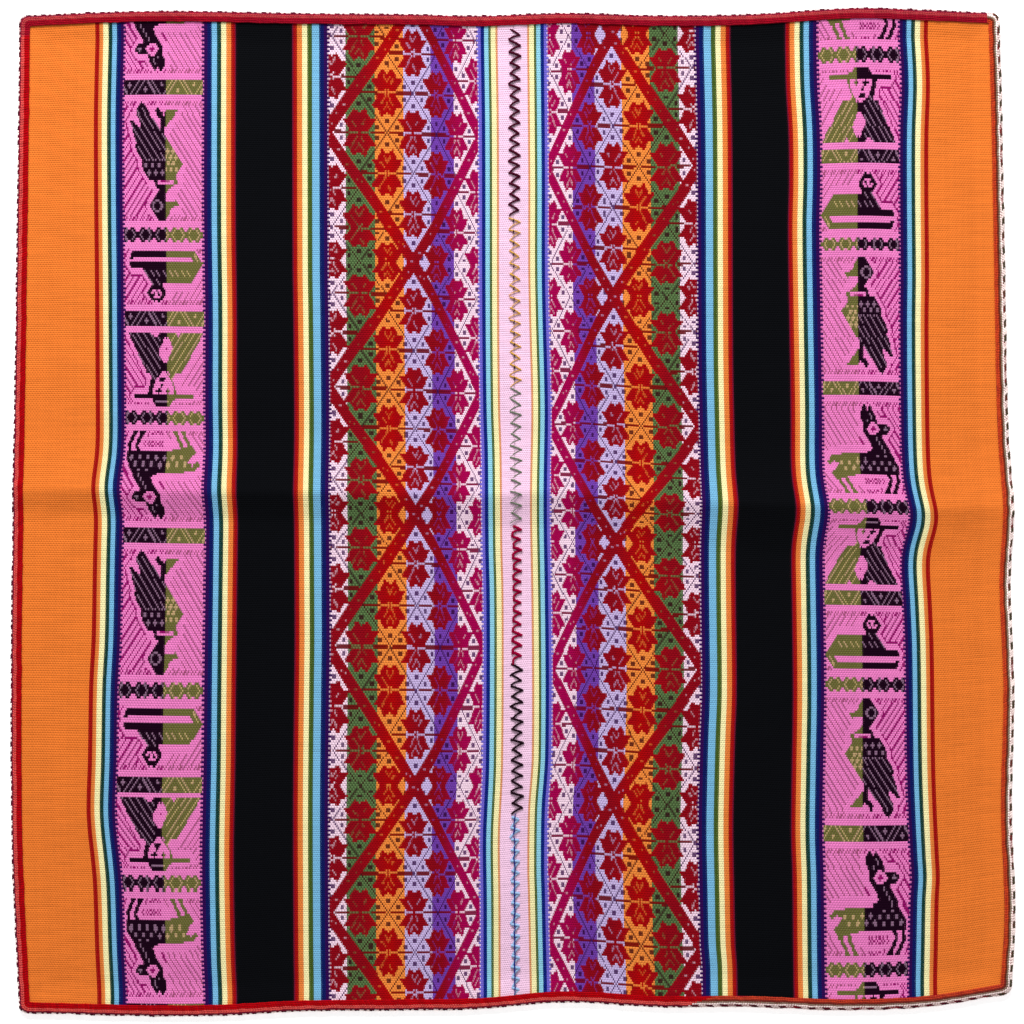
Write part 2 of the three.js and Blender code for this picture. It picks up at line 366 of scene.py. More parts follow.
class Chart:
    """A weaving chart in threads and picks, drawn with filled shapes and strokes."""

    def __init__(self, threads: int, picks: int) -> None:
        """Starts an empty chart.

        Args:
            threads: Cells across.
            picks: Cells down.
        """
        self.x = np.arange(threads)[None, :] + 0.5
        self.y = np.arange(picks)[:, None] + 0.5
        self.cells = np.zeros((picks, threads), int)

    def inside(self, *points: tuple[float, float]) -> Array:
        """Cells whose middle lies inside a closed outline."""
        found = np.zeros(self.cells.shape, bool)
        for (x0, y0), (x1, y1) in zip(points, points[1:] + points[:1]):
            if y0 == y1:
                continue
            crosses = (self.y < y0) != (self.y < y1)
            found ^= crosses & (self.x < x0 + (self.y - y0) * (x1 - x0) / (y1 - y0))
        return found

    def near(self, width: float, *points: tuple[float, float]) -> Array:
        """Cells whose middle lies within half a width of an open line."""
        found = np.zeros(self.cells.shape, bool)
        for (x0, y0), (x1, y1) in zip(points, points[1:]):
            length = max((x1 - x0) ** 2 + (y1 - y0) ** 2, 1e-9)
            along = ((self.x - x0) * (x1 - x0) + (self.y - y0) * (y1 - y0)) / length
            held = np.clip(along, 0, 1)
            away = np.hypot(self.x - x0 - held * (x1 - x0), self.y - y0 - held * (y1 - y0))
            found |= away <= width / 2
        return found

    def fill(self, code: Code, *points: tuple[float, float]) -> None:
        """Fills a closed outline."""
        self.cells[self.inside(*points)] = code

    def stroke(self, code: Code, width: float, *points: tuple[float, float]) -> None:
        """Draws an open line of a width."""
        self.cells[self.near(width, *points)] = code

    def slanted(self, lean: float, step: float, width: float) -> Array:
        """Cells on evenly spaced slanted lines, which go left by the lean for one pick down."""
        return (self.x + lean * self.y) % step < width

    def between(self, top: float, bottom: float) -> Array:
        """Cells whose middle lies between two picks, across the whole chart."""
        return (self.y > top) & (self.y < bottom) & (self.x > 0)

    def spot(self, code: Code, x: float, y: float, wide: float, tall: float) -> None:
        """Fills a small diamond round a place."""
        shape = np.abs(self.x - x) / wide + np.abs(self.y - y) / tall
        self.cells[shape <= 1] = code

    def moved(self, y: float) -> "Chart":
        """The same cells seen from a place further down, so that shapes can be drawn from zero."""
        part = object.__new__(Chart)
        part.x, part.y, part.cells = self.x, self.y - y, self.cells
        return part


def grown(mask: Array, steps: int) -> Array:
    """A mask made larger on every side by a number of cells."""
    for _ in range(steps):
        wide = np.pad(mask, 1)
        mask = wide[1:-1, 1:-1] | wide[:-2, 1:-1] | wide[2:, 1:-1] | wide[1:-1, :-2] | wide[1:-1, 2:]
    return mask


class FigureChart:
    """The repeat of the figured band: a winged person, an emblem, a bird and a llama between dividers."""

    PICKS = 212
    OLIVE_THREADS = 28
    PERSON_TOP = 9.5
    EMBLEM_TOP = 58
    BIRD_TOP = 98
    LLAMA_TOP = 167
    # First and last pick of each field, and the ways its lines lean in the olive and the dark half
    FIELDS = ((7.0, 47.0, 1, -1), (54.0, 88.0, 1, 1), (95.0, 156.0, -1, 1), (163.0, 212.0, -1, -1))
    CLEAR = 2
    CONTOUR_AWAY = 2
    CONTOUR_FROM = 42
    LINE_STEP = 4.4
    OLIVE_LINE = 1.0
    DARK_LINE = 1.4
    TICK_STEP = 2.6
    TICK_WIDE = 1.3
    TICK_ROW = 4.0
    TICK_HALF = 1.1
    TICK_MARGIN = 1.4
    CROSS_TOPS = (0.0, 88.0)
    SLANT_TOPS = (47.0, 156.0)
    DIVIDER_TALL = 7
    DIVIDER_START = 6.8
    DIVIDER_STEP = 12.2
    DIVIDER_STEPS = range(-1, 6)
    DIVIDER_LINE = 0.8
    FEATHER_LEAN = 1.05
    FEATHER_STEP = 4.7
    LEG = 2.3

    def __init__(self) -> None:
        """Draws the whole repeat."""
        self.chart = Chart(FIGURE_THREADS, self.PICKS)
        self.person(self.chart.moved(self.PERSON_TOP))
        self.emblem(self.chart.moved(self.EMBLEM_TOP))
        self.bird(self.chart.moved(self.BIRD_TOP))
        self.llama(self.chart.moved(self.LLAMA_TOP))
        for field in self.FIELDS:
            self.hatch(*field)
        for top in self.CROSS_TOPS:
            self.crosses(self.chart.moved(top))
        for top in self.SLANT_TOPS:
            self.slants(self.chart.moved(top))

    def person(self, c: Chart) -> None:
        """A standing person with a flat hat, a pointed chin and fan-shaped wings."""
        c.fill(
            MOTIF, (25.7, 0), (37.2, 0), (39.9, 3.8), (43, 5), (40.6, 12), (30.5, 19), (24, 12.4),
            (20.3, 5),
        )
        c.fill(MOTIF, (7.6, 3.6), (52.7, 3.6), (52.7, 5.2), (7.6, 5.2))
        c.fill(LIGHT, (27, 2.0), (37.2, 2.0), (37.2, 3.0), (27, 3.0))
        left_wing = c.inside(
            (24.2, 12.6), (28.4, 17), (28.4, 21), (25.2, 24.4), (24, 28), (27.4, 33), (27.4, 34.2),
            (21.5, 34.2), (19.6, 32), (17.6, 34.2), (0.6, 34.2), (17.4, 15.1), (21.4, 15.1),
        )
        right_wing = c.inside(
            (39.2, 12.2), (41, 15.6), (43.4, 15.6), (57.4, 34.2), (40, 34.2), (36, 32), (34.2, 34.2),
            (27.4, 34.2), (27.4, 32.6), (34, 27), (34, 24.4), (31, 21), (28.4, 21), (28.4, 17),
        )
        c.cells[left_wing | right_wing] = MOTIF
        c.cells[left_wing & c.slanted(self.FEATHER_LEAN, self.FEATHER_STEP, 1) & (c.x < 25)] = LIGHT
        c.cells[right_wing & c.slanted(-self.FEATHER_LEAN, self.FEATHER_STEP, 1) & (c.x > 33)] = LIGHT
        c.fill(
            GROUND, (23, 5.3), (38.6, 5.3), (38.6, 8.6), (36.4, 12.4), (30.4, 17), (25.4, 12.8),
            (22.8, 8.6),
        )
        c.spot(MOTIF, 27.6, 7.2, 2.1, 1.3)
        c.spot(MOTIF, 34.6, 7.1, 2.5, 1.4)
        c.stroke(MOTIF, 1.1, (33.4, 8), (31.8, 10))
        c.fill(MOTIF, (29.8, 10.9), (31.4, 9.4), (33.2, 10.9))
        c.fill(MOTIF, (29.6, 11.9), (33.6, 11.9), (34.4, 12.9), (33, 14), (30, 14), (28.8, 12.9))
        c.spot(GROUND, 29.2, 23.2, 2.4, 2.2)
        c.fill(GROUND, (25, 25.4), (27, 25.4), (29.6, 29.2), (32.4, 25.4), (34.4, 25.4), (29.8, 32.6))

    def emblem(self, c: Chart) -> None:
        """A six-sided head on striped shoulders, above two slabs with a slot between them."""
        head = ((34, 0), (35.9, 1.3), (38, 0), (43.3, 5.4), (39, 9.6), (31.5, 9.6), (28.6, 5.4))
        c.fill(MOTIF, *head)
        c.fill(GROUND, (34.2, 2.6), (37.4, 2.6), (40, 5.2), (37.6, 7.6), (34.2, 7.6), (31.8, 5.2))
        for eye in (34.2, 37.6):
            c.spot(MOTIF, eye, 4.7, 1.2, 1.2)
        c.fill(MOTIF, (35.8, 6.0), (38.2, 7.9), (33.6, 7.9))
        body = c.inside((27, 10.2), (31.5, 9.4), (39, 9.4), (46, 16.8), (54, 16.6), (57, 20.2), (27, 20.2))
        c.cells[body] = MOTIF
        slab = c.inside(
            (8.8, 10.2), (28, 10.2), (28, 20.2), (6.8, 20.2), (9, 23), (55.6, 23), (54, 25.9),
            (6.4, 25.9), (0, 19.6),
        )
        c.cells[slab] = MOTIF
        c.fill(MOTIF, (53, 23.2), (53.6, 21.6), (56.6, 21.8), (55.6, 23.4))
        lines = c.slanted(-self.FEATHER_LEAN, 4.6, 1) & (np.floor(c.y) % 4 > 0)
        c.cells[lines & (slab | body) & c.between(12.4, 17.4) & (c.x > 9)] = LIGHT
        c.cells[lines & body & c.between(8.6, 13) & (c.x > 31)] = LIGHT
        c.stroke(LIGHT, 1.0, (3.4, 20), (6.6, 24.4))

    def bird(self, c: Chart) -> None:
        """A bird in profile with a collar and one long feathered wing."""
        c.fill(MOTIF, (27.6, 0), (34, 0), (40.6, 6.9), (32.4, 15.6), (28, 15.6), (28, 9))
        c.fill(MOTIF, (28.2, 0), (23.4, 6.2), (18.2, 7.5), (20, 9.8), (22.6, 8.8), (28.4, 8.8))
        ring = np.hypot((c.x - 34.6) / 3.6, (c.y - 7) / 2.5)
        c.cells[(ring > 0.72) & (ring < 1.08)] = LIGHT
        c.spot(LIGHT, 30.6, 7.3, 0.9, 1)
        c.fill(
            MOTIF, (29.8, 11.6), (23.6, 15.8), (19, 17.4), (20.2, 21), (15.2, 26.8), (29.6, 41.4),
            (29.8, 16),
        )
        wing = c.inside(
            (28.4, 15.4), (34.8, 15.4), (37.4, 19.4), (41.4, 19.5), (46.4, 25.8), (45.6, 27.6),
            (51.6, 35), (50.2, 36.4), (52, 40), (54.8, 47.2), (53, 47.4), (47.6, 43.2), (47, 45.4),
            (50.4, 50.6), (46.2, 55), (34.4, 45), (33, 43.4), (30, 43), (28.4, 40),
        )
        c.cells[wing] = MOTIF
        c.cells[wing & c.slanted(-0.97, self.FEATHER_STEP, 0.95) & c.between(27.5, 52)] = LIGHT
        self.diamonds(c, (30.6, 22.4), (5.0, 3.6), 3, 4, wing & c.between(20.6, 29))
        breast = (c.x < self.OLIVE_THREADS) & c.between(20.8, 36.5) & (c.cells == MOTIF)
        self.diamonds(c, (20.4, 24), (3.9, 2.9), 4, 4, breast)
        c.fill(GROUND, (22.2, 16.8), (34, 16.6), (34, 19.5), (22.2, 19.5))
        c.stroke(LINE, 1.0, (25, 18.2), (31.5, 18.2))
        c.stroke(MOTIF, 2.6, (30.8, 42.4), (30.6, 48), (34.4, 50.6))
        c.fill(MOTIF, (29.8, 42.6), (26.8, 45), (19.2, 50.6), (28.4, 50.6), (30.6, 47.6))

    def llama(self, c: Chart) -> None:
        """A llama that looks back over its shoulder, with its tail out."""
        c.fill(
            MOTIF, (29, 3), (32, 0), (34.4, 2.1), (36.8, 0), (40, 3), (42.6, 8), (50, 8.1), (52.4, 10.3),
            (50, 12.9), (45.2, 13), (58.4, 28.4), (57.6, 31.6), (28, 31.8), (28, 21.8), (36.2, 21.4),
            (38.4, 19.6), (30.6, 10.6), (31.6, 8.2), (29, 5.2),
        )
        c.fill(
            MOTIF, (28.2, 21.8), (16, 21.8), (12.4, 23.4), (11.6, 27), (5.8, 31.8), (9.6, 34.6),
            (28.2, 31.8),
        )
        c.fill(MOTIF, (12.4, 23.6), (7.8, 22.4), (3.2, 25.4), (5, 27), (8.4, 25), (11, 26.6))
        eye = ((36.6, 7.5), (40.4, 7.5), (44, 10.3), (40.4, 13.2), (36.6, 13.2), (34.2, 10.3))
        c.fill(GROUND, *eye)
        c.spot(LINE, 38.8, 10.4, 1.9, 1.5)
        c.spot(LIGHT, 48.4, 10.4, 1.4, 1)
        c.stroke(LIGHT, 0.9, (36.6, 3), (37.6, 5.6))
        c.spot(LIGHT, 34.6, 6.4, 1, 0.9)
        spotted = (c.cells == MOTIF) & c.between(22.6, 30.6) & (c.x > 9)
        self.diamonds(c, (14, 25.8), (6.2, 3.0), 8, 2, spotted)
        self.diamonds(c, (42.2, 23), (6.0, 3.0), 2, 1, spotted)
        for x, y in ((41.4, 15.2), (43.6, 17), (45.4, 19), (47.6, 21)):
            c.spot(LIGHT, x, y, 1.1, 1.1)
        c.stroke(MOTIF, self.LEG, (55, 30.6), (56.8, 34.8), (52.4, 41))
        c.stroke(MOTIF, self.LEG, (49, 31), (51, 34.8), (46.8, 41))
        for heel in (45.0, 50.4):
            c.fill(MOTIF, (heel - 0.8, 41.8), (heel + 1.2, 39.8), (heel + 4, 41.8))
        for x in (10.0, 15.8):
            c.stroke(MOTIF, self.LEG, (x, 32.6), (x + 6, 41))
            c.fill(MOTIF, (x + 4, 41.8), (x + 6, 40), (x + 8.4, 41.8))
        for row, last in ((35.4, 46), (41.0, 40)):
            ticks = (np.abs(c.y - row) < 1.2) & c.slanted(1.3, self.TICK_STEP, 1.2)
            c.cells[ticks & (c.x > 30) & (c.x < last)] = LINE

    @staticmethod
    def diamonds(
        c: Chart, first: tuple[float, float], step: tuple[float, float], across: int, down: int, on: Array
    ) -> None:
        """Draws small light diamonds in staggered rows.

        Args:
            c: The chart.
            first: Thread and pick of the first one.
            step: Threads and picks from one to the next.
            across: How many lie in a row.
            down: How many rows there are.
            on: The cells that may show them.
        """
        kept = c.cells.copy()
        for row in range(down):
            for column in range(across):
                shift = 0.5 * (row % 2)
                c.spot(LIGHT, first[0] + step[0] * (column + shift), first[1] + step[1] * row, 1.6, 1.5)
        c.cells[~on] = kept[~on]

    def hatch(self, top: float, bottom: float, olive_lean: int, dark_lean: int) -> None:
        """Fills the ground of one field with slanted lines and rows of ticks that keep clear of its figure.

        Args:
            top: The field's first pick.
            bottom: The field's last pick.
            olive_lean: Way of the slant in the olive half, 1 for rising to the right.
            dark_lean: The same in the dark half.
        """
        x, y = self.chart.x, self.chart.y
        inside = (y > top) & (y < bottom)
        near = grown(inside & (self.chart.cells != GROUND), self.CLEAR)
        olive = x < self.OLIVE_THREADS
        lean = x + y * np.where(olive, olive_lean, dark_lean)
        lines = (lean % self.LINE_STEP) < np.where(olive, self.OLIVE_LINE, self.DARK_LINE)
        edge = np.minimum(y - top, bottom - y)
        ticks = self.chart.slanted(1, self.TICK_STEP, self.TICK_WIDE)
        ticks &= np.abs(edge - self.TICK_ROW) < self.TICK_HALF
        inner = edge > self.TICK_ROW + self.TICK_MARGIN
        lines = (lines & inner) | ticks
        round_figure = grown(near, self.CONTOUR_AWAY)
        contour = round_figure & ~grown(near, self.CONTOUR_AWAY - 1) & (x > self.CONTOUR_FROM) & inner
        lines = (lines & ~round_figure) | (ticks & ~near) | contour
        self.chart.cells[inside & lines & ~near] = LINE

    def crosses(self, c: Chart) -> None:
        """A divider of diamonds and crosses in turn."""
        inside = c.between(0, self.DIVIDER_TALL)
        c.cells[inside] = MOTIF
        deep = np.minimum(c.y, self.DIVIDER_TALL - c.y)
        for step in self.DIVIDER_STEPS:
            middle = self.DIVIDER_START + self.DIVIDER_STEP * step
            for turn in (-1, 1):
                tips, side = middle + 1.7 * turn, (middle + 4.3 * turn, self.DIVIDER_TALL / 2)
                c.stroke(LIGHT, self.DIVIDER_LINE, (tips, 0.8), side)
                c.stroke(LIGHT, self.DIVIDER_LINE, side, (tips, 6.2))
            between = np.abs(c.x - middle - self.DIVIDER_STEP / 2) < 3.0 - 1.3 * deep
            above = np.abs(c.x - middle) < 1.7 - 1.4 * deep
            c.cells[inside & (between | above)] = GROUND

    def slants(self, c: Chart) -> None:
        """A divider of double slanted lines with a dot in each triangle."""
        c.cells[c.between(0, self.DIVIDER_TALL)] = MOTIF
        for step in self.DIVIDER_STEPS:
            foot = self.DIVIDER_START + self.DIVIDER_STEP * step
            start, end, dot = (6.6, 0.4, 2.3) if step % 2 else (0.4, 6.6, 4.7)
            for shift in (-1.7, 1.7):
                c.stroke(LIGHT, self.DIVIDER_LINE, (foot + 3.0 + shift, start), (foot + 9.2 + shift, end))
            c.spot(LIGHT, foot, dot, 1.5, 1.3)

    def codes(self, thread: Array, pick: Array) -> Array:
        """Codes of the cells at threads from the outer edge and picks from the repeat's top."""
        across = FIGURE_THREADS - 1 - thread
        return self.chart.cells[np.floor(pick).astype(int) % self.PICKS, across]


class FlowerChart:
    """The flower band: large crossing diagonals over a lattice of fine lines, with a bloom in each mesh."""

    HALF = 60.0
    MIDDLE = 58.2
    INNER_DIAGONAL = 4.8
    OUTER_DIAGONAL = 4.5
    CELL = 37.4
    SQUEEZE = (1.21, 3.3)
    KINDS = 3
    # How far a bloom reaches sideways, in threads, at picks from its middle
    BLOOM = ((0, 6.3), (0.8, 6.3), (6.1, 10.9), (6.7, 10.9), (6.8, 6.9), (8, 6.3), (11, 4.1), (11.1, 0))
    NOTCH = (9.3, 1.9)
    PLAIN_REACH = 3.0
    FLECK_HALF = 1.4
    FLECK_STEP = 11
    FLECK_SHIFT = 5
    # Place across and along, slope, half width and first row of each vein, and its last row for each kind
    LEFT_VEIN, LEFT_LAST = (1.0, 1.4, 0.78, 0.6, 1.3), (7.4, 5.4, 7.4)
    RIGHT_VEIN, RIGHT_LAST = (1.0, 1.4, 0.62, 0.55, 1.3), (4.2, 6.4, 6.4)
    UPPER_VEIN, UPPER_LAST = (1.6, 2.2, 1.06, 0.6, 2.0), (5.6, 5.6, 5.6)
    DASH_VEIN, DASH_LAST = (2.5, 4.2, 0.8, 0.6, 3.9), (6.4, 6.4, 6.4)
    TIP_VEIN, LOW_TIP_LAST, HIGH_TIP_LAST = (5.3, 0.0, 1.15, 0.7, -1.0), (2.9, 2.9, 2.9), (2.7, 2.7, 2.7)
    # First and last thread of the bars out of a bloom's middle, and their half width
    LIGHT_BAR = (0.9, 6.6, 0.5)
    SHADE_BAR = (6.8, 17.3, 0.75)
    # Place, half width and half height of the dots beside and above a bloom
    SIDE_DOT = (11.8, 2.9, 1.3, 1.0)
    END_DOT = (0.0, 13.3, 1.4, 1.0)
    CROSS_REACH = 1.7
    CROSS_HALF = 0.6
    LATTICE_HALF = 0.5

    def codes(self, thread: Array, pick: Array) -> Array:
        """Codes of cells of the flower band.

        Args:
            thread: Threads from the band's outer edge.
            pick: Picks from a row where the diagonals reach the band's edges.

        Returns:
            One code for each cell.
        """
        half = self.HALF
        dx = thread + 0.5 - self.MIDDLE
        dy = (pick + 0.5 + half) % (2 * half) - half
        spread = np.abs(dx) + np.abs(dy)
        outside = spread > half
        dx = np.where(outside, dx - np.sign(dx) * 1.5 * self.CELL, dx)
        dy = np.where(outside, dy - np.sign(dy) * half, dy)
        factor, shift = self.SQUEEZE
        squeezed = np.sign(dy) * np.minimum(np.abs(dy) * factor, np.abs(dy) + shift)
        dy = np.where(outside, squeezed, dy)
        first, second = dx + dy, dx - dy
        rows, columns = np.round(first / self.CELL), np.round(second / self.CELL)
        first = first - self.CELL * rows
        second = second - self.CELL * columns
        kind = (rows * 2 + columns + outside) % self.KINDS
        barred = ~outside | (np.abs(dy) > self.PLAIN_REACH)
        codes = self.cell((first + second) / 2, (first - second) / 2, kind, barred)
        away = spread - half
        diagonal = (away > -self.INNER_DIAGONAL) & (away < self.OUTER_DIAGONAL)
        codes = np.where(diagonal, MOTIF, codes)
        scattered = (np.floor(thread / 2) * self.FLECK_SHIFT + pick) % self.FLECK_STEP < 1
        flecks = diagonal & (np.abs(away) < self.FLECK_HALF) & scattered
        return np.where(flecks, VEIN, codes)

    def cell(self, dx: Array, dy: Array, kind: Array, barred: Array) -> Array:
        """Codes inside one mesh of the lattice.

        Args:
            dx: Threads from the mesh's middle.
            dy: Picks from the mesh's middle.
            kind: Which of three sets of veins the bloom has.
            barred: Where the bars between the blooms are worked.

        Returns:
            One code for each cell.
        """
        edge = self.CELL / 2
        x, y = np.abs(dx), np.abs(dy)
        picks, reach = np.array(self.BLOOM).T
        bloom = (x < np.interp(y, picks, reach)) & (x >= (y - self.NOTCH[0]) * self.NOTCH[1])
        codes = np.where(bloom, MOTIF, GROUND)
        codes[bloom & self.veins(dx, dy, kind)] = VEIN
        first, last, half = self.LIGHT_BAR
        codes[barred & (y <= half) & (x > first) & (x < last)] = LIGHT
        codes[(np.abs(y - x) < self.CROSS_HALF) & (x < self.CROSS_REACH) & (y > half) & (kind > 0)] = LIGHT
        first, last, half = self.SHADE_BAR
        codes[barred & (y < half) & (x > first) & (x < last)] = SHADE
        for across, along, wide, tall in (self.SIDE_DOT, self.END_DOT):
            codes[(np.abs(x - across) < wide) & (np.abs(y - along) < tall)] = LINE
        codes[np.abs(x + y - edge) <= self.LATTICE_HALF] = LINE
        return codes

    def veins(self, dx: Array, dy: Array, kind: Array) -> Array:
        """Cells on the fine light veins of the blooms, which differ with their kind."""

        def vein(across: Array, along: Array, shape: Sequence[float], last: Sequence[float]) -> Array:
            """Cells on one slanted vein."""
            place_across, place_along, slope, half, first = shape
            near = np.abs(across - place_across - (along - place_along) * slope) < half
            return near & (along > first) & (along < np.take(last, kind.astype(int)))

        x = np.abs(dx)
        left = vein(-dx, dy, self.LEFT_VEIN, self.LEFT_LAST)
        right = vein(dx, dy, self.RIGHT_VEIN, self.RIGHT_LAST)
        high_left = vein(-dx, -dy, self.UPPER_VEIN, self.UPPER_LAST)
        dash = vein(dx, -dy, self.DASH_VEIN, self.DASH_LAST)
        low_tip = vein(dy, x, self.TIP_VEIN, self.LOW_TIP_LAST)
        high_tip = vein(-dy, x, self.TIP_VEIN, self.HIGH_TIP_LAST)
        lower = left | np.where(kind == 2, low_tip & (dx > 0), right | low_tip)
        tipped = np.where(kind == 1, high_tip | dash, high_left | high_tip)
        return lower | np.where(kind == 0, high_left | dash, tipped)


class Side(Enum):
    """Which side of the seam a web lies on."""

    LEFT = -1
    RIGHT = 1


@dataclass
class Web:
    """One warp-faced web, with its stripes and its two patterned bands."""

    side: Side
    node: str
    first_pick: int
    last_pick: int
    picks: Line
    first_line: float
    last_line: float
    drifts: tuple[Line, ...]
    jog: Line
    figure_picks: Line
    flower_picks: Line
    flower_slant: Line
    JOG_REACH: float = 16.5
    CELLS: int = 2
    EDGE_MIX: float = 0.7
    OLIVE_SPECKLE: tuple[float, float] = (0.9, 0.07)
    REST_LIFT: float = 0.3
    WAVE: float = 0.28
    PUCKER: float = 0.22
    PUCKER_AT: float = 22
    PUCKER_SPREAD: float = 9

    def edge_lines(self) -> tuple[EdgeLine, EdgeLine]:
        """The web's left and right edge lines."""

        def seam(y: Any) -> Array:
            """The web's edge at the seam."""
            return seam_x(y) + self.side.value * SEAM_GAP / 2

        return (left_x, seam) if self.side is Side.LEFT else (seam, right_x)

    def rises(self, picks: Array) -> Array:
        """Fractions up the cloth of the picks, from the top down."""
        y = self.picks.read(picks)
        middle = self.side.value * (self.first_line + self.last_line) / 2
        crease = CREASE_LINE.read(middle)
        high = (y - crease) / (top_y(middle) - crease)
        low = (crease - y) / (crease - bottom_y(middle))
        up = np.where(y > crease, 0.5 + high / 2, 0.5 - low / 2)
        up[0], up[-1] = 1.0, 0.0
        return np.clip(up, 0, 1)

    def reaches(self, threads: Array, y: Array) -> Array:
        """How far threads lie from the middle line, without the outer edge and the seam.

        Args:
            threads: Threads from the outer edge.
            y: Heights to read them at.

        Returns:
            Distances, a row for each height.
        """
        counts = np.cumsum([FIELD_THREADS] + [s.threads for s in STRIPES])
        widths = np.cumsum([0.0] + [s.width for s in STRIPES])
        scale = (self.first_line - self.last_line) / widths[-1]
        nominal = self.first_line - scale * np.interp(threads, counts, widths)
        guides = [0, *(thread for group in DRIFT_THREADS for thread in group), ALL_THREADS]
        still = np.zeros_like(y)
        wander = [drift.read(y) for drift, group in zip(self.drifts, DRIFT_THREADS) for _ in group]
        moves = np.stack([still, *wander, still])
        place = np.interp(threads, guides, np.arange(len(guides)))
        row = np.minimum(place.astype(int), len(guides) - 2)
        share = (place - row)[None, :]
        drift = moves[row].T * (1 - share) + moves[row + 1].T * share
        reach = nominal[None, :]
        crease = CREASE_LINE.read(self.side.value * reach)
        swing = self.jog.read(reach) * np.exp(-(((y[:, None] - crease) / self.JOG_REACH) ** 2))
        return reach + drift + swing

    def grid(self, threads: Array, picks: Array) -> Array:
        """Points of the web's upper side, a row for each pick and a column for each thread."""
        from_x, to_x = self.edge_lines()
        up = self.rises(picks)
        y = along_side(to_x if self.side is Side.LEFT else from_x, up)[:, 1]
        low, high = along_side(from_x, up)[:, 0], along_side(to_x, up)[:, 0]
        outer, seam = (low, high) if self.side is Side.LEFT else (high, low)
        reach = self.side.value * self.reaches(threads, y)
        first, last = np.searchsorted(threads, (FIELD_THREADS, SEAM_SIDE_START))
        field_share = np.clip(threads / threads[first], 0, 1)[None, :]
        seam_share = np.clip((threads - threads[last]) / (ALL_THREADS - threads[last]), 0, 1)[None, :]
        field = outer[:, None] * (1 - field_share) + reach[:, first, None] * field_share
        beside_seam = reach[:, last, None] * (1 - seam_share) + seam[:, None] * seam_share
        x = np.where(seam_share > 0, beside_seam, np.where(field_share < 1, field, reach))
        across = np.clip((x - low[:, None]) / (high - low)[:, None], 0, 1)
        ups = np.broadcast_to(up[:, None], across.shape)
        flat = web_points(from_x, to_x, across, ups)
        points = np.dstack([flat, self.heights(flat, across, ups)])
        if self.side is Side.RIGHT:
            points = points[:, ::-1]
        return points

    def heights(self, flat: Array, across: Array, up: Array) -> Array:
        """Height of the upper side: the weave's thickness over the crease, the hem and slight waves."""
        x, y = flat[..., 0], flat[..., 1]
        outer = across if self.side is Side.LEFT else 1 - across
        from_x, to_x = self.edge_lines()
        wide = (to_x(0.0) - from_x(0.0)) * outer
        ends = np.minimum(up, 1 - up) * 2 * HALF_LENGTH
        edge = np.minimum(wide, ends)
        lift = HEM_LIFT * np.clip((HEM_FOOT - edge) / (HEM_FOOT - HEM_LINE), 0, 1)
        calm = np.clip((edge - HEM_FOOT) / HEM_FOOT, 0, 1)
        bend = np.sin(y / WAVE_BEND_LENGTH) * WAVE_BEND
        slant = x / WAVE_SLANT_LENGTH + WAVE_START
        waves = self.WAVE * np.sin(x / WAVE_WIDE + bend) * np.sin(y / WAVE_LONG + slant)
        beside_edging = np.exp(-(((wide - self.PUCKER_AT) / self.PUCKER_SPREAD) ** 2))
        shift = PUCKER_SHIFT * np.sin(x / PUCKER_SHIFT_LENGTH)
        puckers = self.PUCKER * np.sin(y / PUCKER_LONG + shift) * beside_edging
        return CLOTH_THICK + crease_height(x, up) + lift + calm * (waves + self.REST_LIFT) + puckers * calm

    def cells(self) -> tuple[Array, Array]:
        """Colours of every cell of the weave on the upper side and on the underside."""
        picks = np.arange(self.first_pick, self.last_pick)[:, None]
        threads = np.arange(ALL_THREADS)[None, :]
        field = Stripe(Tone.ORANGE_FIELD, FIELD_THREADS, 0)
        seam_side = Stripe(Tone.PALE_PINK, SEAM_SIDE_THREADS, 0)
        warp = [stripe for stripe in (field, *STRIPES, seam_side) for _ in range(stripe.threads)]
        pepper = np.array([stripe.pepper for stripe in warp])
        lowered = 1 - pepper * ((threads + picks) % 2)
        ground = np.array([stripe.tone.linear() for stripe in warp]) * lowered[..., None]
        for start, count in ((FIGURE_START, FIGURE_THREADS), (FLOWER_START, FLOWER_THREADS)):
            for edge, beside in ((start, start - 1), (start + count - 1, start + count)):
                inner, outer = ground[0, edge].copy(), ground[0, beside].copy()
                ground[::2, edge] = outer
                ground[1::2, beside] = blend(outer, inner, self.EDGE_MIX)
        front = ground.copy()
        back = ground.copy()
        self.dress_figures(front, back, ground, threads, picks)
        self.dress_flowers(front, back, ground, threads, picks)
        return front, back

    def dress_figures(self, front: Array, back: Array, ground: Array, threads: Array, picks: Array) -> None:
        """Works the figured band into both sides of the weave."""
        span = slice(FIGURE_START, FIGURE_END)
        across = np.broadcast_to(threads[:, span] - FIGURE_START, (len(picks), FIGURE_THREADS))
        codes = FigureChart().codes(across, self.figure_picks.read(picks) + 0 * across)
        olive = (FIGURE_THREADS - 1 - across < FigureChart.OLIVE_THREADS)[..., None]
        dark = np.where(olive, Tone.OLIVE.linear(), Tone.INK.linear())
        hatch = np.where(olive, Tone.FAINT_HATCH.linear(), Tone.HATCH.linear())
        light = np.where(olive, Tone.OLIVE_LIGHT.linear(), Tone.INK_LIGHT.linear())
        pink = ground[:, span]
        odd = ((across + picks) % 2 == 1)[..., None]
        dark_share, pink_share = self.OLIVE_SPECKLE
        mixed = np.where(odd & olive, dark * dark_share + pink * pink_share, dark)
        front[:, span] = choose(codes, pink, mixed, hatch, light)
        back[:, span] = choose(codes, dark, pink, pink, dark)

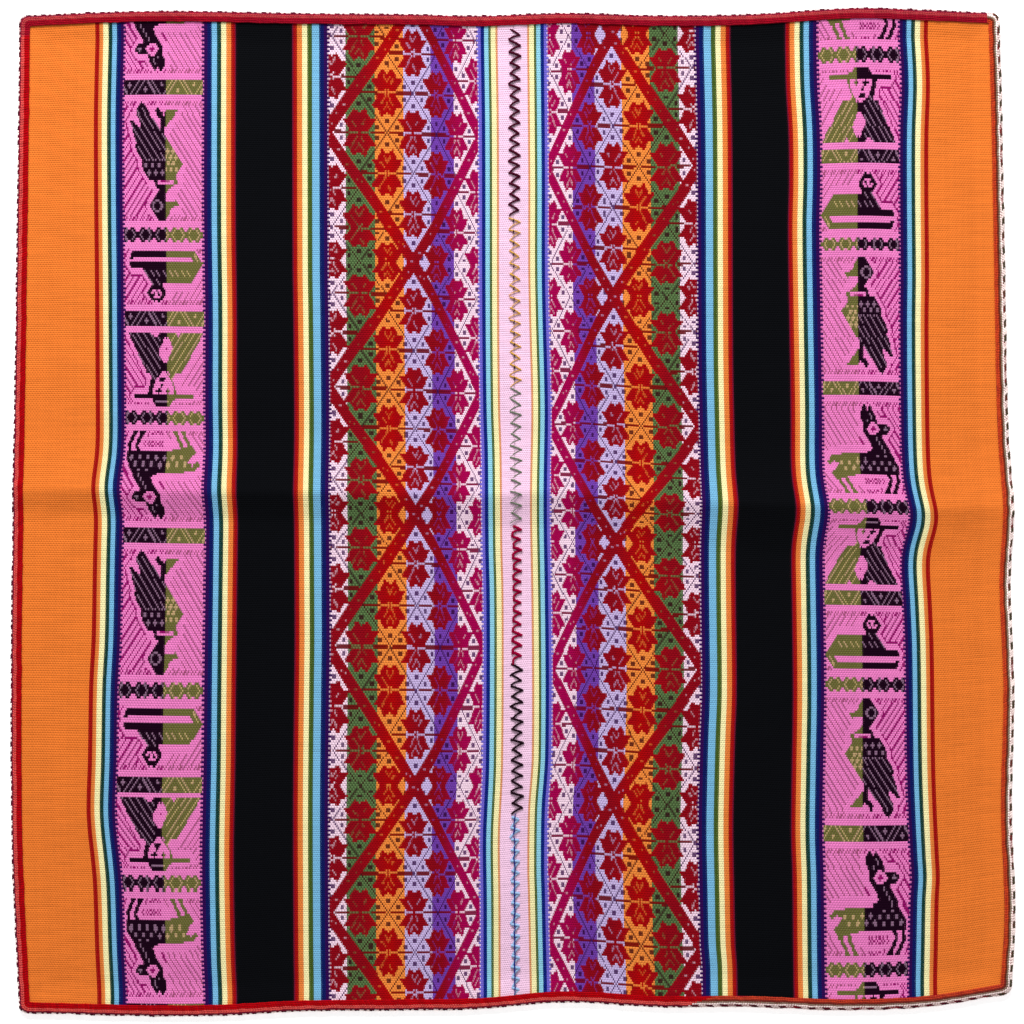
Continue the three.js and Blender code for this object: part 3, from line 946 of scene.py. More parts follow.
    def dress_flowers(self, front: Array, back: Array, ground: Array, threads: Array, picks: Array) -> None:
        """Works the flower band into both sides of the weave."""
        span = slice(FLOWER_START, FLOWER_START + FLOWER_THREADS)
        across = np.broadcast_to(threads[:, span] - FLOWER_START, (len(picks), FLOWER_THREADS))
        slant = self.flower_slant.read(picks) * (across / FLOWER_THREADS - 0.5)
        codes = FlowerChart().codes(across, self.flower_picks.read(picks) + slant)
        stops = np.array([tone.linear() for tone in MOTIF_TONES])
        places = np.arange(len(stops)) * MOTIF_TONE_STEP
        motif = np.stack([np.interp(across[0], places, stops[:, k]) for k in range(3)], -1)
        base = ground[:, span]
        motif = np.broadcast_to(motif, base.shape)
        of_base = np.array(BASE_SHARES)[:, None, None]
        colours = [base * of_base[n] + motif * share for n, share in enumerate(MOTIF_SHARES)]
        front[:, span] = choose(codes, base, motif, *colours)
        back[:, span] = choose(codes, motif, base, base, motif, motif, base)

    def build(self) -> bpy.types.Object:
        """Makes the web's closed sheet, with the colours of its cells on its faces."""
        step = self.CELLS
        threads = np.arange(0, ALL_THREADS + 1, step)
        picks = np.arange(self.first_pick, self.last_pick + 1, step)
        top = self.grid(threads, picks)
        front, back = self.cells()
        threads_across = np.broadcast_to(threads[None, :], top.shape[:2]).astype(float)
        if self.side is Side.RIGHT:
            front, back, threads_across = front[:, ::-1], back[:, ::-1], threads_across[:, ::-1]
        picks_down = np.broadcast_to(picks[:, None], top.shape[:2]).astype(float)
        bottom = top - [0, 0, CLOTH_THICK]
        mesh = sheet_mesh(self.node + "_weave", top[::-1], bottom[::-1])
        count = np.stack([threads_across[::-1], picks_down[::-1]], -1)
        add_map(mesh, np.concatenate([count.reshape(-1, 2)] * 2))
        self.add_colours(mesh, front[::-1], back[::-1])
        return add_object(mesh, WebWool().build())

    def add_colours(self, mesh: bpy.types.Mesh, front: Array, back: Array) -> None:
        """Stores the colours of each face's four cells, as even or odd thread and even or odd pick."""
        mirrored = self.side is Side.RIGHT
        for name, thread, pick in CELL_NAMES:
            column = 1 - thread if mirrored else thread
            row = 1 - pick
            layers = [side[row::2, column::2].reshape(-1, 3) for side in (front, back)]
            grid = front[row::2, column::2]
            rims = np.concatenate([grid[0], grid[-1], grid[:, 0], grid[:, -1]])
            values = np.concatenate(layers + [rims])
            colours = np.column_stack([values, np.ones(len(values))]).astype(np.float32)
            layer = mesh.attributes.new(name, "FLOAT_COLOR", "FACE")
            layer.data.foreach_set("color", colours.ravel())


# The flower band's motif from its outer edge to its inner edge, a tone every few threads
MOTIF_TONES = (
    Tone.CRIMSON, Tone.CRIMSON, Tone.SCARLET, Tone.CRIMSON, Tone.CRIMSON, Tone.MAGENTA, Tone.MAGENTA,
)
MOTIF_TONE_STEP = 20
# How much of the ground and of the motif its lines, light marks, veins and shades hold
BASE_SHARES = ((0.12, 0.09, 0.19), (0.7, 0.7, 0.7), (0.33, 0.33, 0.33), (0.03, 0.03, 0.03))
MOTIF_SHARES = (0.10, 0.3, 0.7, 0.55)
# The four cells that one face of a web holds: even or odd thread, even or odd pick
CELL_NAMES = (("cell_a", 0, 0), ("cell_b", 1, 0), ("cell_c", 0, 1), ("cell_d", 1, 1))
WEAVE_MAP = "weave"


def blend(first: Array, second: Array, share: float) -> Array:
    """A mix of two colours that holds a share of the second."""
    return second * share + first * (1 - share)


def choose(codes: Array, *colours: Array) -> Array:
    """The colour for each code, from one array of colours for each code in turn."""
    picked = colours[0]
    for value, colour in enumerate(colours[1:], start=1):
        picked = np.where((codes == value)[..., None], colour, picked)
    return picked


def sheet_mesh(name: str, top: Array, bottom: Array) -> bpy.types.Mesh:
    """A closed sheet between two grids of points in millimetres, rows going up and columns to the right."""
    rows, columns = top.shape[:2]
    count = rows * columns
    points = np.concatenate([top.reshape(-1, 3), bottom.reshape(-1, 3)])
    at = np.arange(count).reshape(rows, columns)
    a, b, c, d = (part.ravel() for part in (at[:-1, :-1], at[:-1, 1:], at[1:, 1:], at[1:, :-1]))
    upper = np.stack([a, b, c, d], 1)
    lower = np.stack([a, d, c, b], 1) + count
    ends = ((at[0, 1:], at[0, :-1]), (at[-1, :-1], at[-1, 1:]))
    sides = ((at[:-1, 0], at[1:, 0]), (at[1:, -1], at[:-1, -1]))
    rims = [np.stack([start, end, end + count, start + count], 1) for start, end in (*ends, *sides)]
    return quads_mesh(name, points, np.concatenate([upper, lower, *rims]))


def from_drawing(points: Array) -> Array:
    """Points in the frame, in metres, from points in millimetres about the drawing's own middle."""
    return (points - [*MIDDLE, 0]) * MM


def quads_mesh(name: str, points: Array, faces: Array) -> bpy.types.Mesh:
    """A smooth mesh of four-sided faces, from points in millimetres."""
    mesh = bpy.data.meshes.new(name)
    mesh.vertices.add(len(points))
    mesh.vertices.foreach_set("co", from_drawing(points).astype(np.float32).ravel())
    mesh.loops.add(faces.size)
    mesh.loops.foreach_set("vertex_index", faces.astype(np.int32).ravel())
    mesh.polygons.add(len(faces))
    mesh.polygons.foreach_set("loop_start", np.arange(0, faces.size, 4, dtype=np.int32))
    mesh.update(calc_edges=True)
    mesh.shade_smooth()
    return mesh


def add_map(mesh: bpy.types.Mesh, places: Array) -> None:
    """Gives each corner of a mesh the two numbers of its point."""
    index = np.zeros(len(mesh.loops), np.int32)
    mesh.loops.foreach_get("vertex_index", index)
    layer = mesh.uv_layers.new(name=WEAVE_MAP)
    layer.uv.foreach_set("vector", places[index].astype(np.float32).ravel())


def add_object(mesh: bpy.types.Mesh, material: bpy.types.Material) -> bpy.types.Object:
    """Puts a mesh in the scene with one material."""
    mesh.materials.append(material)
    made = bpy.data.objects.new(mesh.name, mesh)
    bpy.context.scene.collection.objects.link(made)
    return made


def operator(kind: str, swapped: bool = False) -> Callable[["Socket", Any], "Socket"]:
    """Makes an arithmetic method that adds a Math node.

    Args:
        kind: The node's operation.
        swapped: Whether the other value comes first.

    Returns:
        The method.
    """

    def method(self: "Socket", other: Any) -> "Socket":
        """Adds the node."""
        return self.tree.math(kind, *((other, self) if swapped else (self, other)))

    return method


class Socket:
    """An output of a node, which can be used in arithmetic."""

    def __init__(self, tree: "Tree", socket: bpy.types.NodeSocket) -> None:
        """Wraps one output."""
        self.tree = tree
        self.socket = socket

    def beside(self, name: str) -> "Socket":
        """Another output of the same node."""
        return Socket(self.tree, self.socket.node.outputs[name])

    __add__ = __radd__ = operator("ADD")
    __sub__ = operator("SUBTRACT")
    __rsub__ = operator("SUBTRACT", swapped=True)
    __mul__ = __rmul__ = operator("MULTIPLY")
    __mod__ = operator("FLOORED_MODULO")
    __gt__ = operator("GREATER_THAN")
    __lt__ = operator("LESS_THAN")


class Tree:
    """A node tree that is built from Python expressions."""

    def __init__(self, tree: bpy.types.NodeTree) -> None:
        """Wraps a node tree."""
        self.tree = tree

    def node(self, kind: str, settings: dict[str, Any], inputs: dict[Any, Any], output: Any = 0) -> Socket:
        """Adds one node.

        Args:
            kind: The node's type name.
            settings: Its own settings, which are set first.
            inputs: Values or links for its inputs, by name or number.
            output: Which output to return.

        Returns:
            The output asked for.
        """
        made = self.tree.nodes.new(kind)
        for name, value in settings.items():
            setattr(made, name, value)
        for key, value in inputs.items():
            if isinstance(value, Socket):
                self.tree.links.new(value.socket, made.inputs[key])
            else:
                made.inputs[key].default_value = value
        if not made.outputs:
            return Socket(self, made.inputs[0])
        return Socket(self, made.outputs[output])

    def math(self, operation: str, *values: Any) -> Socket:
        """Adds a Math node."""
        return self.node("ShaderNodeMath", {"operation": operation}, dict(enumerate(values)))


@dataclass(frozen=True)
class Fibre:
    """The fine fibres of a yarn: bumps in a metre, detail, depth in metres, and least and added tone."""

    scale: float
    detail: float
    depth: float
    least: float
    more: float
    roughness: float = 0.85
    sheen: float = 0.02


WHITE_NOISE = ("ShaderNodeTexWhiteNoise", {"noise_dimensions": "1D"})


class Wool(Tree):
    """A yarn finish: a rough fibre surface with a little sheen."""

    NOISE_ROUGHNESS = 0.6
    ROUGHNESS_SPREAD = 0.1
    SHEEN_ROUGHNESS = 0.5
    SPECULAR = 0.04

    def __init__(self, name: str) -> None:
        """Starts a material."""
        self.material = bpy.data.materials.new(name)
        self.material.use_nodes = True
        self.material.node_tree.nodes.clear()
        super().__init__(self.material.node_tree)

    def place(self) -> Socket:
        """The place on the object."""
        return self.node("ShaderNodeTexCoord", {}, {}, "Object")

    def noise(self, scale: float, detail: float, at: Socket | None = None) -> Socket:
        """Soft noise between 0 and 1, in bumps of a size given by their number in a metre."""
        inputs = {"Vector": at or self.place(), "Scale": scale, "Detail": detail}
        return self.node("ShaderNodeTexNoise", {}, {**inputs, "Roughness": self.NOISE_ROUGHNESS}, "Fac")

    def mixed(self, factor: Any, first: Any, second: Any, blend: str = "MIX") -> Socket:
        """Two colours mixed by a factor."""
        settings = {"data_type": "RGBA", "blend_type": blend, "clamp_factor": True}
        return self.node("ShaderNodeMix", settings, {0: factor, 6: first, 7: second}, 2)

    def shaded(self, colour: Any, factor: Any) -> Socket:
        """A colour made lighter or darker by a number."""
        inputs = {"Color": colour, "Value": factor}
        return self.node("ShaderNodeHueSaturation", {}, inputs, "Color")

    def bumped(self, height: Socket, depth: float) -> Socket:
        """A normal from a height, with its full depth in metres."""
        inputs = {"Height": height, "Distance": depth, "Strength": 1.0}
        return self.node("ShaderNodeBump", {}, inputs, "Normal")

    def fibrous(self, colour: Any, fibre: Fibre, noise: Socket, shade: Any = 0.0) -> bpy.types.Material:
        """Ends the material with a yarn's fibres.

        Args:
            colour: The yarn's colour.
            fibre: How its fibres look.
            noise: The noise of the fibres.
            shade: What else makes it lighter.

        Returns:
            The material.
        """
        tone = noise * fibre.more + fibre.least + shade
        roughness = noise * self.ROUGHNESS_SPREAD + fibre.roughness
        normal = self.bumped(noise, fibre.depth)
        return self.finish(self.shaded(colour, tone), roughness, normal, fibre.sheen)

    def finish(self, colour: Any, roughness: Any, normal: Socket, sheen: float) -> bpy.types.Material:
        """Ends the material in one fibre surface."""
        inputs = {
            "Base Color": colour,
            "Roughness": roughness,
            "Normal": normal,
            "Sheen Weight": sheen,
            "Sheen Roughness": self.SHEEN_ROUGHNESS,
            "Specular IOR Level": self.SPECULAR,
        }
        surface = self.node("ShaderNodeBsdfPrincipled", {}, inputs, "BSDF")
        self.node("ShaderNodeOutputMaterial", {}, {"Surface": surface})
        return self.material


@dataclass(frozen=True)
class WebWool:
    """The weave of the webs: warp floats in four cells to a face, with ribs at the picks, whose grooves
    between picks are bumped and also darkened with painted shade.
    """

    name: str = "Web wool"
    tone: float = 0.98
    # Painted shade: how much darker the colour is made in the grooves between picks
    groove_painted_shade: float = 0.13
    rib_sharpness: float = 3.0
    thread_shade: float = 0.055
    pick_shade: float = 0.275
    pick_along: float = 0.035
    pick_apart: float = 0.9
    patch_scale: float = 38.0
    patch_shade: float = 0.10
    fibre_scale: float = 2600.0
    fibre_shade: float = 0.1
    serration: float = 0.22
    serration_from: float = 0.6
    relief: float = 0.00028
    relief_crossing: float = 0.35
    relief_ridge: float = 0.3
    relief_rib: float = 0.5
    relief_fibre: float = 0.5
    roughness: float = 0.86
    sheen: float = 0.015

    def build(self) -> bpy.types.Material:
        """Makes the material, once for both webs."""
        known = bpy.data.materials.get(self.name)
        if known:
            return known
        wool = Wool(self.name)
        count = wool.node("ShaderNodeUVMap", {"uv_map": WEAVE_MAP}, {}, "UV")
        split = wool.node("ShaderNodeSeparateXYZ", {}, {0: count}, "X")
        thread, pick = split, split.beside("Y")
        colour = self.cells(wool, thread, pick)
        ripple = wool.math("COSINE", pick * (2 * math.pi))
        rib = wool.math("POWER", (ripple + 1) * 0.5, self.rib_sharpness)
        streak = self.streaks(wool, thread, pick)
        patches = wool.noise(self.patch_scale, 3.0) - 0.5
        fibre = wool.noise(self.fibre_scale, 2.0) - 0.5
        shade = patches * self.patch_shade + fibre * self.fibre_shade
        # Painted shade darkens the colour in the grooves between picks, on top of their bump; streaks and
        # patches are tone that differs at random
        tone = self.tone - rib * self.groove_painted_shade + streak + shade
        crossing = wool.math("COSINE", thread * math.pi) * wool.math("COSINE", pick * math.pi)
        ridge = wool.math("ABSOLUTE", wool.math("SINE", thread * math.pi))
        raised = crossing * self.relief_crossing + ridge * self.relief_ridge
        height = raised + (1.0 - rib) * self.relief_rib + fibre * self.relief_fibre
        roughness = self.roughness + fibre * wool.ROUGHNESS_SPREAD
        normal = wool.bumped(height, self.relief)
        return wool.finish(wool.shaded(colour, tone), roughness, normal, self.sheen)

    def cells(self, wool: Wool, thread: Socket, pick: Socket) -> Socket:
        """The colour of the cell at a thread and a pick, with the stepped edge of a float."""
        names = [name for name, _, _ in CELL_NAMES]
        layers = [wool.node("ShaderNodeAttribute", {"attribute_name": name}, {}, "Color") for name in names]
        swing = wool.math("ABSOLUTE", wool.math("SINE", pick * math.pi))
        wobble = (swing - self.serration_from) * self.serration
        odd_thread = (((thread + wobble) * 0.5) % 1.0) > 0.5
        odd_pick = ((pick * 0.5) % 1.0) > 0.5
        even_row = wool.mixed(odd_thread, layers[0], layers[1])
        odd_row = wool.mixed(odd_thread, layers[2], layers[3])
        return wool.mixed(odd_pick, even_row, odd_row)

    def streaks(self, wool: Wool, thread: Socket, pick: Socket) -> Socket:
        """Lighter and darker threads and picks, each a little different along the cloth."""
        of_thread = wool.node(*WHITE_NOISE, {"W": wool.math("FLOOR", thread)}, "Value")
        along, apart = thread * self.pick_along, wool.math("FLOOR", pick) * self.pick_apart
        of_pick = wool.noise(1.0, 1.0, wool.node("ShaderNodeCombineXYZ", {}, {0: along, 1: apart}))
        return (of_thread - 0.5) * self.thread_shade + (of_pick - 0.5) * self.pick_shade


FLOAT_COUNT = "float_count"
EYE_STEPS = 6

# The round yarn floats of the edging and the stitches of the seam, with the limits of their unevenness
SWAY_SCALE = 150.0
BALL_SEGMENTS = 6
BALL_RINGS = 4
FLOAT_SIZES = (Vector((0.9, 0.85, 0.92)), Vector((1.12, 1.1, 1.1)))
STITCH_STEPS = 6
STITCH_SIDES = 7
STITCH_TURNS = (Vector((0, 0, -0.16)), Vector((0, 0, 0.16)))
STITCH_SIZES = (Vector((0.86, 0.9, 0.9)), Vector((1.1, 1.1, 1.1)))


class Repeater(Tree):
    """A Geometry Nodes tree with named inputs that repeats a small shape along a path."""

    def __init__(self, name: str, inputs: dict[str, str]) -> None:
        """Starts the tree.

        Args:
            name: The tree's name.
            inputs: Kinds of the inputs between the path and the yarn, by name.
        """
        super().__init__(bpy.data.node_groups.new(name, "GeometryNodeTree"))
        interface = self.tree.interface
        interface.new_socket(name="Path", in_out="INPUT", socket_type="NodeSocketGeometry")
        for title, kind in {**inputs, "Yarn": "Material"}.items():
            interface.new_socket(name=title, in_out="INPUT", socket_type="NodeSocket" + kind)
        interface.new_socket(name="Result", in_out="OUTPUT", socket_type="NodeSocketGeometry")
        self.entry = self.tree.nodes.new("NodeGroupInput")

    def given(self, name: str) -> Socket:
        """One of the tree's inputs."""
        return Socket(self, self.entry.outputs[name])

    def points(self) -> tuple[Socket, Socket]:
        """Evenly spaced points along the path, and their turns."""
        curve = self.node("GeometryNodeMeshToCurve", {}, {0: self.given("Path")})
        inputs = {0: curve, 1: self.given("Count")}
        spread = self.node("GeometryNodeCurveToPoints", {"mode": "COUNT"}, inputs)
        return spread, spread.beside("Rotation")

    def vectors(self, operation: str, first: Any, second: Any) -> Socket:
        """Adds a Vector Math node."""
        return self.node("ShaderNodeVectorMath", {"operation": operation}, {0: first, 1: second})

    def uneven(self, low: Vector, high: Vector) -> Socket:
        """Three numbers for each point, between two sets of limits."""
        inputs = {0: low, 1: high, 8: self.given("Seed")}
        return self.node("FunctionNodeRandomValue", {"data_type": "FLOAT_VECTOR"}, inputs)

    def end(self, instances: Socket) -> None:
        """Ends the tree in plain geometry with its material."""
        whole = self.node("GeometryNodeRealizeInstances", {}, {0: instances})
        smooth = self.node("GeometryNodeSetShadeSmooth", {}, {0: whole})
        worn = self.node("GeometryNodeSetMaterial", {}, {0: smooth, 2: self.given("Yarn")})
        self.node("NodeGroupOutput", {}, {0: worn})

    def apply(self, name: str, path: bpy.types.Mesh, values: dict[str, Any]) -> bpy.types.Object:
        """Runs the tree on a path and keeps the result as a plain mesh.

        Args:
            name: The new piece's name.
            path: A mesh of edges that follow one another.
            values: Values of the tree's inputs, by name.

        Returns:
            The new piece.
        """
        piece = bpy.data.objects.new(name, path)
        bpy.context.scene.collection.objects.link(piece)
        modifier = piece.modifiers.new("Repeat", "NODES")
        modifier.node_group = self.tree
        for item in self.tree.interface.items_tree:
            if item.in_out == "INPUT" and item.name in values:
                modifier[item.identifier] = values[item.name]
        graph = bpy.context.evaluated_depsgraph_get()
        evaluated = piece.evaluated_get(graph)
        mesh = bpy.data.meshes.new_from_object(evaluated, preserve_all_data_layers=True, depsgraph=graph)
        piece.modifiers.clear()
        piece.data = mesh
        mesh.name = name
        return piece


def float_repeater() -> Repeater:
    """Makes the tree of rounded yarn floats that lie one after another along a path."""
    inputs = {"Count": "Int", "Size": "Vector", "Lean": "Float", "Sway": "Vector", "Seed": "Int"}
    tree = Repeater("Yarn floats", inputs)
    points, turn = tree.points()
    index = tree.node("GeometryNodeInputIndex", {}, {})
    settings = {"data_type": "FLOAT", "domain": "POINT"}
    counted = tree.node("GeometryNodeStoreNamedAttribute", settings, {0: points, 2: FLOAT_COUNT, 3: index})
    place = tree.node("GeometryNodeInputPosition", {}, {})
    noise = {"Vector": place, "Scale": SWAY_SCALE, "Detail": 1.0}
    soft = tree.node("ShaderNodeTexNoise", {}, noise, "Color")
    shift = tree.vectors("SUBTRACT", soft, (0.5, 0.5, 0.5))
    sway = tree.vectors("MULTIPLY", shift, tree.given("Sway"))
    moved = tree.node("GeometryNodeSetPosition", {}, {0: counted, 3: sway})
    ball = tree.node("GeometryNodeMeshUVSphere", {}, {0: BALL_SEGMENTS, 1: BALL_RINGS, 2: 0.5})
    size = tree.vectors("MULTIPLY", tree.uneven(*FLOAT_SIZES), tree.given("Size"))
    placed = tree.node("GeometryNodeInstanceOnPoints", {}, {0: moved, 2: ball, 5: turn, 6: size})
    lean = tree.node("ShaderNodeCombineXYZ", {}, {1: tree.given("Lean")})
    leaning = tree.node("GeometryNodeRotateInstances", {}, {0: placed, 2: lean, 4: True})
    tree.end(leaning)
    return tree


def stitch_repeater() -> Repeater:
    """Makes the tree of bent stitches that are set beside a path, each a short round length of yarn."""
    inputs = {"Count": "Int", "Start": "Vector", "Middle": "Vector", "End": "Vector", "Radius": "Float"}
    tree = Repeater("Stitches", {**inputs, "Seed": "Int"})
    points, _ = tree.points()
    route = {0: STITCH_STEPS, 1: tree.given("Start"), 2: tree.given("Middle"), 3: tree.given("End")}
    bend = tree.node("GeometryNodeCurveQuadraticBezier", {}, route)
    ring = tree.node("GeometryNodeCurvePrimitiveCircle", {}, {0: STITCH_SIDES, 4: tree.given("Radius")})
    tube = tree.node("GeometryNodeCurveToMesh", {}, {0: bend, 1: ring, 3: True})
    turn = tree.uneven(*STITCH_TURNS)
    size = tree.uneven(*STITCH_SIZES)
    tree.end(tree.node("GeometryNodeInstanceOnPoints", {}, {0: points, 2: tube, 5: turn, 6: size}))
    return tree


@dataclass(frozen=True)
class RowWool:
    """One lengthwise row of the edging's weave, plain or with the dark floats of its eyes."""

    plain: Tone
    turned: Tone
    plain_eyes: tuple[int, ...] = ()
    turned_eyes: tuple[int, ...] = ()
    turned_right: float = 0.2895
    turned_from: float = 0.1232
    turned_slant: float = 0.0029
    turned_below: float = -0.285
    top_from: float = 0.29
    top_crimson: tuple[float, float] = (0.15, 0.6)
    low_crimson: float = 0.22
    patch_scale: float = 14.0
    patch_shade: float = 0.14
    float_shade: float = 0.32
    fibre: Fibre = Fibre(3200.0, 2.0, 0.00012, 0.7, 0.18)

    def build(self, name: str, reach: float) -> bpy.types.Material:
        """Makes the row's material, with another dressing where the edging is rolled the other way.

        Args:
            name: The material's name.
            reach: How far out the row lies, since the rows turn one after another.

        Returns:
            The material.
        """
        wool = Wool(name)
        count = wool.node("ShaderNodeAttribute", {"attribute_name": FLOAT_COUNT}, {}, "Fac")
        across = wool.node("ShaderNodeSeparateXYZ", {}, {0: wool.place()}, "X")
        up = across.beside("Y")
        corner = (across > self.turned_from - self.turned_slant * reach) * (up < self.turned_below)
        side = across > self.turned_right
        rolled = wool.math("MAXIMUM", side, corner)
        step = (count + 0.5) % float(EYE_STEPS)
        eyes = self.marks(wool, step, self.plain_eyes) * (1 - rolled)
        eyes = eyes + self.marks(wool, step, self.turned_eyes) * rolled
        least, more = self.top_crimson
        patch = wool.noise(self.patch_scale, 1.0)
        crimson = (up > self.top_from) * (patch * more + least)
        plain = wool.mixed(crimson, self.plain.rgba(), Tone.MAROON.rgba())
        turned = wool.mixed(corner * self.low_crimson, self.turned.rgba(), Tone.MAROON.rgba())
        base = wool.mixed(rolled, plain, turned)
        dark = wool.mixed(side, Tone.EYE_DARK.rgba(), Tone.EYE_OLIVE.rgba())
        colour = wool.mixed(eyes, base, dark)
        each = wool.node(*WHITE_NOISE, {"W": count}, "Value")
        noise = wool.noise(self.fibre.scale, self.fibre.detail)
        return wool.fibrous(colour, self.fibre, noise, each * self.float_shade + patch * self.patch_shade)

    def marks(self, wool: Wool, step: Socket, places: tuple[int, ...]) -> Any:
        """1 at the floats with the numbers given."""
        found: Any = 0.0
        for place in places:
            found = (wool.math("ABSOLUTE", step - (place + 0.5)) < 0.5) + found
        return found if places else wool.math("MULTIPLY", step, 0.0)


@dataclass(frozen=True)
class EdgingRow:
    """Where a row of floats lies on the edging, and how it looks."""

    reach: float
    height: float
    wide: float
    lean: float
    wool: RowWool


@dataclass
class Edging:
    """The narrow tubular band round the cloth: a slotted tube with rows of yarn floats over it."""

    SIDE_STEPS: int = 120
    CORNER_STEPS: int = 6
    ARC_STEPS: int = 6
    BODY_TALL: float = 3.5
    BODY_INSIDE: float = 0.45
    FLOATS: int = 1608
    FLOAT_TALL: float = 1.0
    FLOAT_LONG: float = 1.95
    SWAY: float = 1.3
    rows: tuple[EdgingRow, ...] = (
        EdgingRow(0.55, 3.30, 1.3, 0.0, RowWool(Tone.EDGING_RED, Tone.RUST)),
        EdgingRow(1.60, 3.42, 1.4, 0.35, RowWool(Tone.EDGING_RED, Tone.RUST)),
        EdgingRow(2.65, 3.42, 1.4, -0.35, RowWool(Tone.EDGING_RED, Tone.BROWN)),
        EdgingRow(3.65, 3.40, 1.3, 0.35, RowWool(Tone.CORAL, Tone.KHAKI)),
        EdgingRow(4.60, 3.34, 1.3, -0.35, RowWool(Tone.CORAL, Tone.EYE_WHITE)),
        EdgingRow(5.45, 3.05, 1.1, 0.0, RowWool(Tone.MAROON, Tone.EYE_WHITE, (), (0, 1, 2))),
        EdgingRow(6.20, 2.55, 1.2, 0.0, RowWool(Tone.EYE_WHITE, Tone.EYE_WHITE, (0, 1, 4), (0, 1, 2))),
        EdgingRow(6.60, 1.75, 1.2, 0.0, RowWool(Tone.EYE_WHITE, Tone.EYE_WHITE, (0, 1))),
    )

    def corner(self, x_at: EdgeLine, y_at: EdgeLine, up: float, start: float, reach: float) -> Array:
        """Points round one corner, turning a quarter from an angle."""
        place = along_side(x_at, up)
        side, rise = np.sign(place)
        x, y = place[0] - side * HEM_LINE, place[1] - rise * HEM_LINE
        end_way = (np.array([x, y_at(x)]) - place) / -HEM_LINE
        side_way = (np.array([x_at(y), y]) - place) / -HEM_LINE
        share = reach / EDGING_WIDE
        radius = CORNER_INNER_RADIUS + (CORNER_OUTER_RADIUS - CORNER_INNER_RADIUS) * share
        centre = reach - EDGING_WIDE + EDGING_BEYOND_CLOTH - radius
        angles = start + np.linspace(0, math.pi / 2, self.CORNER_STEPS + 1)[:, None]
        out_end = centre + side * np.cos(angles) * radius
        out_side = centre + rise * np.sin(angles) * radius
        flat = place + end_way * out_end + side_way * out_side
        return np.column_stack([flat, np.zeros(len(flat))])

    def ring(self, reach: float, height: float) -> Array:
        """A closed ring along the edging, from the lower left corner and anticlockwise.

        Args:
            reach: Distance out from the inner lip.
            height: Height over the surface under the edging.

        Returns:
            Points in millimetres.
        """
        out = reach - EDGING_WIDE + EDGING_BEYOND_CLOTH
        first = HEM_FOOT / HALF_LENGTH
        left = np.linspace(first, 1, self.SIDE_STEPS // 2)
        right = np.linspace(0, 1 - first, self.SIDE_STEPS // 2)[1:]
        ups = np.linspace(first / 2, 1 - first / 2, self.SIDE_STEPS)
        ends = []
        for y_at, up, way in ((bottom_y, 0.0, -1), (top_y, 1.0, 1)):
            left_half = along_end(left_x, seam_x, y_at, up, left)
            right_half = along_end(seam_x, right_x, y_at, up, right)
            flat = np.concatenate([left_half, right_half]) + [0, way * out]
            ends.append(np.column_stack([flat, np.zeros(len(flat))]))
        sides = []
        for x_at, way in ((right_x, 1), (left_x, -1)):
            flat = along_side(x_at, ups)
            base = crease_height(flat[:, 0], ups)
            sides.append(np.column_stack([flat + [way * out, 0], base]))
        quarter = math.pi / 2
        parts = [
            ends[0],
            self.corner(right_x, bottom_y, 0.0, -quarter, reach),
            sides[0],
            self.corner(right_x, top_y, 1.0, 0.0, reach),
            ends[1][::-1],
            self.corner(left_x, top_y, 1.0, quarter, reach),
            sides[1][::-1],
            self.corner(left_x, bottom_y, 0.0, 2 * quarter, reach),
        ]
        return np.concatenate(parts) + [0, 0, height]

    def section(self) -> list[tuple[float, float]]:
        """The tube's section, as reach and height, with its outer side and lips rounded."""
        middle, lip = self.BODY_TALL / 2, EDGING_LIP / 2
        points = []
        for step in range(self.ARC_STEPS + 1):
            angle = -math.pi / 2 + math.pi * step / self.ARC_STEPS
            outer = EDGING_WIDE - self.BODY_INSIDE - middle
            points.append((outer + middle * math.cos(angle), middle + middle * math.sin(angle)))
        for centre in (self.BODY_TALL - lip, lip):
            arc = []
            for step in range(self.ARC_STEPS // 2 + 1):
                angle = math.pi / 2 + math.pi * step / (self.ARC_STEPS // 2)
                arc.append((lip + lip * math.cos(angle), centre + lip * math.sin(angle)))
            slot = (EDGING_SLOT, self.BODY_TALL - EDGING_LIP if centre > middle else EDGING_LIP)
            points += arc + [slot] if centre > middle else [slot] + arc
        return points

    def body(self) -> bpy.types.Object:
        """Makes the tube itself."""
        section = self.section()
        rings = np.stack([self.ring(reach, height) for reach, height in section])
        around, along = rings.shape[:2]
        at = np.arange(around * along).reshape(around, along)
        a, b = at, np.roll(at, -1, 1)
        c, d = np.roll(b, -1, 0), np.roll(a, -1, 0)
        faces = np.stack([part.ravel() for part in (a, b, c, d)], 1)
        mesh = quads_mesh("edging_tube", rings.reshape(-1, 3), faces)
        return add_object(mesh, TubeWool().build())

    def build(self) -> list[bpy.types.Object]:
        """Makes the tube and its rows of floats."""
        pieces = [self.body()]
        tree = float_repeater()
        for number, row in enumerate(self.rows, start=1):
            name = f"edging_row_{number}"
            values = {
                "Count": self.FLOATS,
                "Size": [row.wide * MM, self.FLOAT_TALL * MM, self.FLOAT_LONG * MM],
                "Lean": row.lean,
                "Sway": [self.SWAY * MM, self.SWAY * MM, 0.0],
                "Seed": number,
                "Yarn": row.wool.build(f"Edging row {number}", row.reach),
            }
            path = path_mesh(name, self.ring(row.reach, row.height), closed=True)
            pieces.append(tree.apply(name, path, values))
        return pieces


def path_mesh(name: str, points: Array, closed: bool) -> bpy.types.Mesh:
    """A mesh of edges through points in millimetres, one after another."""
    mesh = bpy.data.meshes.new(name + "_path")
    count = len(points)
    edges = [(n, (n + 1) % count) for n in range(count if closed else count - 1)]
    mesh.from_pydata([tuple(point) for point in from_drawing(points)], edges, [])
    return mesh


